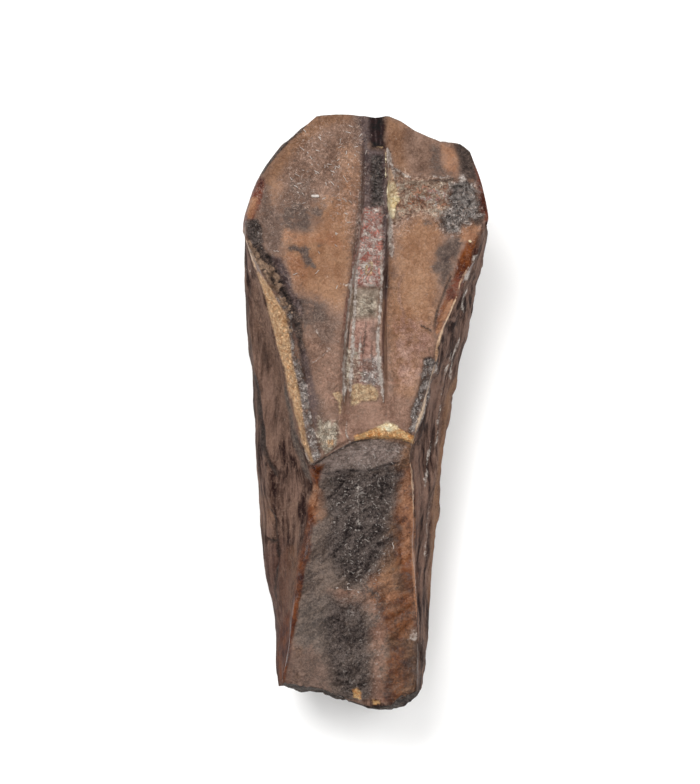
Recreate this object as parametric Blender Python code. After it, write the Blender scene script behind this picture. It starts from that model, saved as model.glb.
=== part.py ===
"""A fossil hadrosaur tooth: a worn crown with a median ridge, on its broken root, lying on its back.

One natural piece. The root end points to -Y, the worn crown edge to +Y and the enamel face up.
The body is a loft. Named rails run along the tooth, and each station across it is a closed ring of
points through those rails. The tables are in millimetres on the tooth's own axes, and the mesh is
built in metres.
"""

import bmesh
import bpy
import numpy as np
from mathutils import Vector, noise

MM = 0.001
LENGTH = 32.0
HALF = LENGTH / 2
NODE = "tooth"

# Stations, in millimetres along the tooth. The crown ends in a lip over the root.
LIP = -1.5
LIP_DROP = 0.16
ROOT_ROWS = 27
CROWN_ROWS = 34

# Height of the enamel face above the resting plane, then of the root's front below the lip.
FACE_HEIGHT = [(-1.5, 9.42), (2.0, 9.28), (6.0, 9.35), (11.0, 9.7), (16.0, 10.2)]
ROOT_HEIGHT = [(-16.0, 8.25), (-12.0, 8.45), (-6.5, 8.55), (-4.0, 8.5), (-3.1, 8.62), (-1.66, 9.14)]

# Plan of each rail: (station, x). Left and right are as seen from above with the crown up.
LEFT_EDGE = [
    (-16.0, -4.3), (-14.3, -4.36), (-13.2, -4.16), (-11.1, -3.82), (-8.9, -3.45), (-7.1, -3.04),
    (-5.5, -2.85), (-3.8, -2.56), (-2.7, -2.88), (-1.8, -3.29), (0.6, -3.91), (3.0, -4.48),
    (5.2, -5.05), (7.4, -5.72), (8.4, -6.1), (9.5, -6.56), (10.3, -6.5), (11.1, -6.28),
    (12.0, -5.98), (12.8, -5.56), (13.6, -5.07), (14.4, -4.43), (15.2, -3.46), (16.0, -2.6),
]
RIGHT_EDGE = [
    (-16.0, 2.5), (-14.8, 2.78), (-12.9, 2.85), (-10.1, 2.71), (-7.2, 2.55), (-4.7, 2.55),
    (-3.4, 2.52), (-2.0, 2.4), (-1.5, 2.56), (-0.3, 2.87), (1.2, 3.29), (2.9, 3.8), (4.1, 4.02),
    (5.2, 4.59), (6.3, 5.0), (6.9, 5.09), (7.6, 5.53), (8.4, 5.88), (9.3, 6.08), (10.3, 6.58),
    (11.1, 6.52), (12.0, 6.33), (12.8, 6.08), (13.9, 5.67), (16.0, 4.9),
]
LEFT_SIDE = [
    (-16.0, -4.1), (-14.6, -4.42), (-13.8, -4.73), (-12.2, -4.65), (-10.6, -4.86), (-9.0, -5.34),
    (-7.4, -5.5), (-5.0, -5.61), (-2.5, -5.83), (0.0, -5.99), (1.5, -6.1), (2.3, -5.99),
    (3.1, -6.2), (4.7, -6.42), (7.1, -6.47), (8.7, -6.4), (9.6, -6.3), (11.1, -6.0), (12.8, -5.3),
    (14.4, -4.2), (16.0, -2.9),
]
RIGHT_SIDE = [
    (-16.0, 2.7), (-14.6, 3.09), (-13.0, 3.3), (-9.8, 3.41), (-7.4, 3.73), (-5.0, 4.0),
    (-2.5, 4.22), (0.7, 4.65), (3.1, 5.18), (5.5, 5.83), (8.0, 6.2), (9.5, 6.38), (11.1, 6.3),
    (12.8, 5.8), (14.0, 5.3), (16.0, 4.6),
]
LEFT_CORNER = [
    (-16.0, -4.35), (-12.2, -4.4), (-10.3, -4.6), (-6.9, -4.78), (-5.3, -4.9), (-4.0, -5.1),
    (-1.5, -5.38), (0.5, -5.6), (2.1, -5.85), (5.0, -6.25), (8.7, -6.45), (9.6, -6.48),
    (11.1, -6.15), (12.8, -5.45), (14.4, -4.3), (16.0, -2.9),
]
RIGHT_CORNER = [
    (-16.0, 2.65), (-12.6, 3.03), (-10.0, 3.03), (-6.6, 3.24), (-4.2, 3.5), (-1.9, 3.89),
    (0.6, 4.25), (3.0, 4.85), (5.5, 5.5), (8.0, 6.1), (9.5, 6.42), (11.1, 6.42), (12.8, 5.92),
    (14.0, 5.45), (16.0, 4.75),
]
RIDGE_LEFT = [(-16.0, -1.4), (-1.5, -0.95), (1.7, -1.02), (5.0, -0.78), (8.7, -0.27), (11.1, -0.03),
              (16.0, -0.03)]
RIDGE_RIGHT = [(-16.0, 0.2), (-1.5, 0.9), (1.7, 1.0), (5.0, 0.94), (8.7, 1.08), (12.5, 1.2),
               (16.0, 1.1)]
BACK_CENTRE = [(-16.0, -0.75), (-8.0, -0.55), (0.0, -0.25), (8.0, 0.1), (16.0, 0.6)]

# Rises above the face (or the root's front) at each rail: (station, mm).
LEFT_EDGE_RISE = [(-16.0, -0.05), (-3.2, 0.0), (-2.3, -0.35), (7.0, -0.3), (9.5, -0.2), (16.0, -0.15)]
LEFT_CREST_RISE = [(-16.0, 0.06), (-3.2, 0.05), (-2.0, 0.2), (7.0, 0.3), (10.0, 0.22), (16.0, 0.05)]
RIGHT_CREST_RISE = [(-16.0, 0.02), (-3.2, 0.1), (-1.4, 0.12), (4.0, 0.34), (9.0, 0.3), (16.0, 0.05)]
RIDGE_RISE = [(-16.0, 0.03), (-2.0, 0.04), (0.2, 0.08), (1.6, 0.3), (4.0, 0.48), (9.0, 0.5),
              (11.2, 0.34), (13.9, 0.24), (14.5, 0.04), (16.0, -0.06)]
CREST_WIDTH = [(-16.0, 0.2), (-2.9, 0.14), (-1.5, 0.25), (0.9, 0.45), (4.7, 0.78), (6.4, 0.5),
               (7.4, 0.2), (16.0, 0.16)]
RIDGE_FOOT = 0.2
RIM_FOOT = 0.6

# Heights above the resting plane of the rails on the walls and the back.
CORNER_HEIGHT = [(-16.0, 5.7), (-9.0, 6.1), (-1.0, 6.7), (6.0, 7.4), (11.0, 8.3), (16.0, 9.1)]
SIDE_HEIGHT = [(-16.0, 4.3), (-6.0, 4.7), (6.0, 5.3), (12.0, 6.2), (16.0, 6.9)]
BACK_HEIGHT = [(-16.0, 1.6), (-13.5, 0.6), (-10.5, 0.0), (8.5, 0.0), (11.0, 0.5), (13.5, 1.3), (16.0, 2.2)]
BACK_HALF_WIDTH = [(-16.0, 1.5), (-11.0, 1.9), (0.0, 2.4), (10.0, 2.6), (16.0, 2.4)]

# How far each end's outline falls short of the full length, across the tooth: (x, mm).
TIP_SHORT = [(-6.5, 1.2), (-3.46, 0.8), (-2.98, 0.43), (-2.5, 0.17), (-0.85, 0.0), (0.0, 0.1),
             (0.6, 0.21), (1.3, 0.1), (1.75, 0.2), (2.2, 0.6), (3.0, 1.05), (3.9, 1.45), (4.5, 1.6),
             (5.1, 1.66), (5.6, 2.04), (6.5, 2.5)]
ROOT_SHORT = [(-4.8, 1.4), (-4.3, 1.15), (-3.4, 0.95), (-2.5, 0.78), (-1.3, 0.36), (-0.4, 0.2),
              (0.5, 0.0), (1.4, 0.08), (1.8, 0.15), (2.2, 0.4), (2.6, 0.6), (3.1, 1.1), (3.5, 1.6)]
TIP_REACH = 7.0
ROOT_REACH = 3.5

# The worn edge slopes back from the enamel face, and the broken root end leans the same way a little.
WEAR_SLOPE = 0.72
WEAR_FROM = -2.0
WEAR_NORMAL = Vector((0, 1, -WEAR_SLOPE)).normalized()
ROOT_NORMAL = Vector((0, -1, 0.08)).normalized()
ROOT_LOW = 1.6
ROOT_LEAN = 0.045

# The lip's own line across the tooth, as a shift of the station: (x, mm).
LIP_LINE = [(-3.4, -1.6), (-2.7, -1.16), (-2.0, -0.62), (-1.05, -0.03), (0.0, 0.2), (0.7, 0.3),
            (1.8, 0.18), (2.6, -0.03), (3.4, -0.3)]
LIP_REACH_UP, LIP_REACH_DOWN = 3.2, 2.6

# Outward bulge halfway between two rails: (station, mm), below zero for a hollow.
PLATE_HOLLOW = [(-16.0, 0.12), (-3.0, 0.14), (-1.7, -0.02), (0.0, -0.08), (8.0, -0.16), (16.0, -0.1)]
RIDGE_CROWN = [(-16.0, 0.04), (-1.5, 0.02), (4.0, -0.03), (16.0, -0.05)]
LEFT_WALL = [(-16.0, -0.05), (-10.0, -0.2), (-2.0, -0.42), (5.0, -0.2), (9.5, -0.05), (16.0, -0.05)]
RIGHT_WALL = [(-16.0, -0.05), (-10.0, -0.14), (-2.0, -0.3), (5.0, -0.18), (9.5, -0.08), (16.0, -0.05)]
FLANK = [(-16.0, 0.12), (0.0, 0.1), (16.0, 0.15)]
UNDERSIDE = [(-16.0, 0.55), (-8.0, 0.75), (4.0, 0.85), (16.0, 0.8)]
FLAT = [(-16.0, 0.0), (16.0, 0.0)]

# Natural unevenness: soft dents over all but the resting face.
DENT_DEPTH = 0.07
DENT_SIZE = 1.6
DENT_FADE = 1.2
DENT_SEED = 7

# Rings that close an end: (share of the way in, share of the hollow's depth, share of the outline's
# unevenness that is left).
CAP_RINGS = [(0.1, 0.2, 0.7), (0.25, 0.55, 0.35), (0.45, 0.85, 0.1), (0.7, 1.0, 0.0)]
TIP_HOLLOW = 0.35
ROOT_HOLLOW = 0.5


def curve(points):
    """A smooth function through (position, value) points that never overshoots them."""
    at, value = np.array(points, float).T
    gap = np.diff(at)
    slope = np.diff(value) / gap
    before, after = slope[:-1], slope[1:]
    turn = before * after <= 0
    near, far = 2 * gap[1:] + gap[:-1], gap[1:] + 2 * gap[:-1]
    mean = (near + far) / (near / np.where(turn, 1, before) + far / np.where(turn, 1, after))
    tangent = np.concatenate([slope[:1], np.where(turn, 0, mean), slope[-1:]])

    def evaluate(position):
        position = np.clip(position, at[0], at[-1])
        i = np.clip(np.searchsorted(at, position) - 1, 0, len(gap) - 1)
        t = (position - at[i]) / gap[i]
        rise = value[i + 1] - value[i]
        a, b = gap[i] * tangent[i], gap[i] * tangent[i + 1]
        return value[i] + t * (a + t * (3 * rise - 2 * a - b + t * (a + b - 2 * rise)))

    return evaluate


def plus(*functions):
    """The sum of functions of the station."""
    return lambda y: sum(f(y) for f in functions)


def constant(value):
    return lambda y: value + 0.0 * np.asarray(y, float)


def minus(function):
    return lambda y: -function(y)


def ease(t):
    """A smooth step from 0 to 1."""
    t = np.clip(t, 0.0, 1.0)
    return t * t * (3 - 2 * t)


FACE, ROOT = curve(FACE_HEIGHT), curve(ROOT_HEIGHT)


def front(y):
    """Height of the front: the enamel face above the lip, the root below it."""
    return np.where(np.asarray(y) > LIP - LIP_DROP / 2, FACE(y), ROOT(y))


def rails():
    """(x, height, bulge to the next rail, spans to the next rail, share of the lip's line) in order
    across the front from left to right, down the right side, over the back and up the left side."""
    left_edge, right_edge = curve(LEFT_EDGE), curve(RIGHT_EDGE)
    ridge_left, ridge_right = curve(RIDGE_LEFT), curve(RIDGE_RIGHT)
    crest = plus(left_edge, curve(CREST_WIDTH))
    plate = curve(PLATE_HOLLOW)
    flat, side, corner, back = curve(FLAT), curve(SIDE_HEIGHT), curve(CORNER_HEIGHT), curve(BACK_HEIGHT)
    centre, half = curve(BACK_CENTRE), curve(BACK_HALF_WIDTH)
    foot, rim = constant(RIDGE_FOOT), constant(RIM_FOOT)
    ridge_top = plus(front, curve(RIDGE_RISE))
    return [
        (left_edge, plus(front, curve(LEFT_EDGE_RISE)), flat, 2, 1),
        (crest, plus(front, curve(LEFT_CREST_RISE)), flat, 3, 1),
        (plus(crest, rim), front, plate, 5, 1),
        (plus(ridge_left, minus(foot)), plus(front, plate), flat, 2, 1),
        (ridge_left, ridge_top, curve(RIDGE_CROWN), 4, 1),
        (ridge_right, ridge_top, flat, 2, 1),
        (plus(ridge_right, foot), plus(front, plate), plate, 5, 1),
        (plus(right_edge, minus(rim)), front, flat, 3, 1),
        (right_edge, plus(front, curve(RIGHT_CREST_RISE)), curve(RIGHT_WALL), 5, 1),
        (curve(RIGHT_CORNER), corner, curve(FLANK), 2, 0),
        (curve(RIGHT_SIDE), side, curve(UNDERSIDE), 5, 0),
        (plus(centre, half), back, flat, 5, 0),
        (plus(centre, minus(half)), back, curve(UNDERSIDE), 5, 0),
        (curve(LEFT_SIDE), side, curve(FLANK), 2, 0),
        (curve(LEFT_CORNER), corner, curve(LEFT_WALL), 5, 0),
    ]


def columns():
    """One (rail, next rail, share of the way between them) for each point of a ring."""
    made = rails()
    return [
        (made[i], made[(i + 1) % len(made)], step / made[i][3])
        for i in range(len(made))
        for step in range(made[i][3])
    ]


TIP_LINE, ROOT_LINE, LIP_SHIFT = curve(TIP_SHORT), curve(ROOT_SHORT), curve(LIP_LINE)


def true_station(y, x, height, lip_share):
    """Where a point of the ring at station y lies along the tooth. Both ends and the lip aren't square
    to it, so the rings near them follow those outlines."""
    depth = FACE(HALF) - height
    tip = -TIP_LINE(x) * ease((y - HALF + TIP_REACH) / TIP_REACH)
    wear = -WEAR_SLOPE * depth * np.clip((y - WEAR_FROM) / (HALF - WEAR_FROM), 0, 1)
    root_share = ease((ROOT_REACH - HALF - y) / ROOT_REACH)
    root = (ROOT_LINE(x) + ROOT_LEAN * (height - ROOT_LOW)) * root_share
    reach = LIP_REACH_UP if y > LIP else LIP_REACH_DOWN
    lip = lip_share * LIP_SHIFT(x) * (1 - ease(abs(y - LIP) / reach))
    return y + tip + wear + root + lip


def ring_point(y, column):
    """One point of the ring at station y, in millimetres."""
    here, following, share = column
    ends = [float(rail[1](y)) for rail in (here, following)]
    bulge = 4 * share * (1 - share) * float(here[2](y))
    lip_share = (1 - share) * here[4] + share * following[4]
    level = (1 - share) * ends[0] + share * ends[1]
    station = y
    for _ in range(4):
        x0, x1 = float(here[0](station)), float(following[0](station))
        x = (1 - share) * x0 + share * x1
        station = float(true_station(y, x, level, lip_share))
    outward = Vector((ends[0] - ends[1], x1 - x0)).normalized() * bulge
    return Vector((x + outward.x, station, level + outward.y))


def dented(point, steady):
    """A point moved by soft natural dents, which fade out towards the resting face."""
    fade = 0.0 if steady else float(ease(point.z / DENT_FADE))
    push = noise.noise_vector(point / DENT_SIZE)
    return point + push * DENT_DEPTH * fade


def ring(y):
    """The closed ring of points across the tooth at station y."""
    points = []
    for column in columns():
        point = ring_point(y, column)
        resting = point.z < DENT_DEPTH
        points.append(dented(point, resting))
    return points


def stations():
    root = np.linspace(-HALF, LIP - LIP_DROP, ROOT_ROWS)
    crown = np.linspace(LIP, HALF, CROWN_ROWS)
    return np.concatenate([root, crown])


def add_ring(bm, points):
    """A closed loop of edges through these points, in metres."""
    verts = [bm.verts.new(point * MM) for point in points]
    return [bm.edges.new((verts[i - 1], verts[i])) for i in range(len(verts))]


def close_end(bm, points, edges, outward, depth):
    """Fills an end with rings that draw in to a point and sink against the outward direction."""
    centre = sum(points, Vector()) / len(points)
    for share, hollow, uneven in CAP_RINGS:
        moved = []
        for point in points:
            proud = (point - centre).dot(outward) / outward.y
            level = point - Vector((0, proud * (1 - uneven), 0))
            moved.append(level.lerp(centre, share) - outward * depth * hollow)
        drawn = add_ring(bm, moved)
        bmesh.ops.bridge_loops(bm, edges=edges + drawn)
        edges = drawn
    bmesh.ops.holes_fill(bm, edges=edges, sides=0)


def tooth_mesh():
    noise.seed_set(DENT_SEED)
    bm = bmesh.new()
    rings = [ring(float(y)) for y in stations()]
    loops = [add_ring(bm, points) for points in rings]
    for below, above in zip(loops, loops[1:]):
        bmesh.ops.bridge_loops(bm, edges=below + above)
    close_end(bm, rings[0], loops[0], ROOT_NORMAL, ROOT_HOLLOW)
    close_end(bm, rings[-1], loops[-1], WEAR_NORMAL, TIP_HOLLOW)
    bmesh.ops.triangulate(bm, faces=bm.faces, quad_method="SHORT_EDGE")
    bmesh.ops.recalc_face_normals(bm, faces=bm.faces)
    mesh = bpy.data.meshes.new(NODE)
    bm.to_mesh(mesh)
    bm.free()
    mesh.shade_smooth()
    mesh.set_sharp_from_angle(angle=np.radians(35))
    return mesh


def fossil_material():
    """Brown, mineral-stained enamel and dentine with a soft polish."""
    material = bpy.data.materials.new("fossil")
    material.use_nodes = True
    shader = material.node_tree.nodes["Principled BSDF"]
    shader.inputs["Base Color"].default_value = (0.20, 0.115, 0.07, 1.0)
    shader.inputs["Roughness"].default_value = 0.42
    shader.inputs["Metallic"].default_value = 0.0
    return material


def main():
    for old in list(bpy.data.objects):
        bpy.data.objects.remove(old)
    tooth = bpy.data.objects.new(NODE, tooth_mesh())
    tooth.data.materials.append(fossil_material())
    bpy.context.scene.collection.objects.link(tooth)


main()
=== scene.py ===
"""The looks of a fossil hadrosaur tooth: its worn enamel face with a median ridge, the broken margins,
the stained root and the lint caught on the face. Everything is in metres, in the part's own frame.

The tooth's front is laid out on a plan seen from above. A place on the plan is (across, down), in plan
units of PLAN_LENGTH to the tooth's length, so every outline below keeps to the tooth's own size.
"""

import math

import bpy
import numpy as np
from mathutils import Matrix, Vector


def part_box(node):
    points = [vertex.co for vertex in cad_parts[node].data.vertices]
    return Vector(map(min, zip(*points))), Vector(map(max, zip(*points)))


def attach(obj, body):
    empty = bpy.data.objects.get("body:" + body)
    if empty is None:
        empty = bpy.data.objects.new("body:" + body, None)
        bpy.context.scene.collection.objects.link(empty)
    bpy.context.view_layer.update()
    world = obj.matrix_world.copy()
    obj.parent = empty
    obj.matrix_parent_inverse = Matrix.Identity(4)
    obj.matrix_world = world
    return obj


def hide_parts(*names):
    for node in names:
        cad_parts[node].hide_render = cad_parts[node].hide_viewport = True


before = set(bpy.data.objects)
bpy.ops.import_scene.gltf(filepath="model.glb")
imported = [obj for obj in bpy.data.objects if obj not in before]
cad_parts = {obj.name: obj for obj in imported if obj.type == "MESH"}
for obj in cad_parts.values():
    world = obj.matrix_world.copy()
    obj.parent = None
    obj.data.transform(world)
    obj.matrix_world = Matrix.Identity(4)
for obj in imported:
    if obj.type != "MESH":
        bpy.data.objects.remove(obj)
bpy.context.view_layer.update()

MM = 0.001
LOW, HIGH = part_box("tooth")
PLAN_LENGTH = 595.0
PLAN_MIDDLE = (365.0, 412.5)
# One plan unit, in metres and in millimetres.
UNIT = (HIGH.y - LOW.y) / PLAN_LENGTH
UNIT_MM = UNIT / MM

# ---- The plan of the front: its margins from the top down, and the regions between them

CROWN_BASE = [
    (311, 465), (326, 456), (340, 447.5), (347, 444), (355, 440), (369, 438.3), (384, 438.7),
    (397, 438.3), (405, 441), (413, 443),
]
LEFT_MARGIN = [
    (247, 237), (252, 254), (257, 273), (263, 289), (267.5, 306), (273, 326), (278, 345), (286, 374),
    (291, 396), (295.5, 411), (298.5, 426), (302, 441), (307, 453), (311, 463),
]
RIGHT_MARGIN = [
    (482, 224), (478, 236), (474.5, 250), (471, 266), (467, 273), (460, 284), (458, 295), (453, 306),
    (449.5, 318), (444, 328), (439, 339), (436.5, 348), (435.5, 362), (431, 382), (427, 396), (422, 411),
    (418, 424), (414, 437), (413, 443),
]
PANEL_LEFT = [
    (311, 465), (317.5, 480), (317, 493), (314, 505), (312, 516), (309.5, 530), (307.5, 542), (305, 558),
    (302, 571), (300.5, 585), (297, 603), (294.5, 620), (291, 636), (288, 650), (286.5, 662),
    (284.5, 679),
]
PANEL_RIGHT = [
    (413, 443), (408.5, 452), (409.5, 462), (411, 475), (412, 495), (411.6, 520), (412, 548), (414, 584),
    (416.5, 618), (417.5, 654), (417, 674), (412, 698),
]
OUTSIDE_TOP = [(500, 214), (500, 90), (230, 90), (230, 236)]
OUTSIDE_FOOT = [(398, 720), (350, 720), (284, 700)]
STRIPE_RIGHT = [
    (258, 272), (266.5, 282), (271, 289), (277, 302), (286, 314), (288, 326), (290.5, 343), (291.5, 355),
    (294, 369), (297.5, 383), (300, 394), (303, 417), (306, 436), (310, 450), (313.5, 462),
]
RIDGE_LEFT = [
    (366, 108), (365.5, 155), (363.5, 190), (361.5, 212), (359, 235), (355.5, 262), (353, 285),
    (349, 300), (346, 322), (344, 347), (343, 370), (343, 400), (347, 414),
]
RIDGE_RIGHT = [
    (386, 108), (386, 208), (387, 235), (387, 270), (385.5, 300), (383, 320), (381.5, 345), (383, 372),
    (385, 396), (386, 414),
]

CROWN = CROWN_BASE + RIGHT_MARGIN[::-1] + OUTSIDE_TOP + LEFT_MARGIN
PANEL = PANEL_LEFT + OUTSIDE_FOOT + PANEL_RIGHT[::-1] + CROWN_BASE[::-1]
STRIPE = LEFT_MARGIN[2:] + STRIPE_RIGHT[::-1]
RIDGE = RIDGE_LEFT + RIDGE_RIGHT[::-1]

# Heights of the enamel face and of the root's front along the tooth, in millimetres: (y, height).
FACE_HEIGHT = [(-1.5, 9.4), (6.0, 9.35), (11.0, 9.7), (16.0, 10.2)]
PANEL_HEIGHT = [(-16.0, 8.25), (-4.0, 8.5), (-1.5, 9.1)]
# How far below these heights, in millimetres, a place still counts as the front.
FRONT_DEPTH = 0.75

# ---- Stains and textures laid over the front, and among them some painted shadows, shade and highlights. Each patch is
# (stain, softness of its edge, strength, outline), and each streak is (stain, first width, last width,
# strength, path), in plan units.

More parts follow.
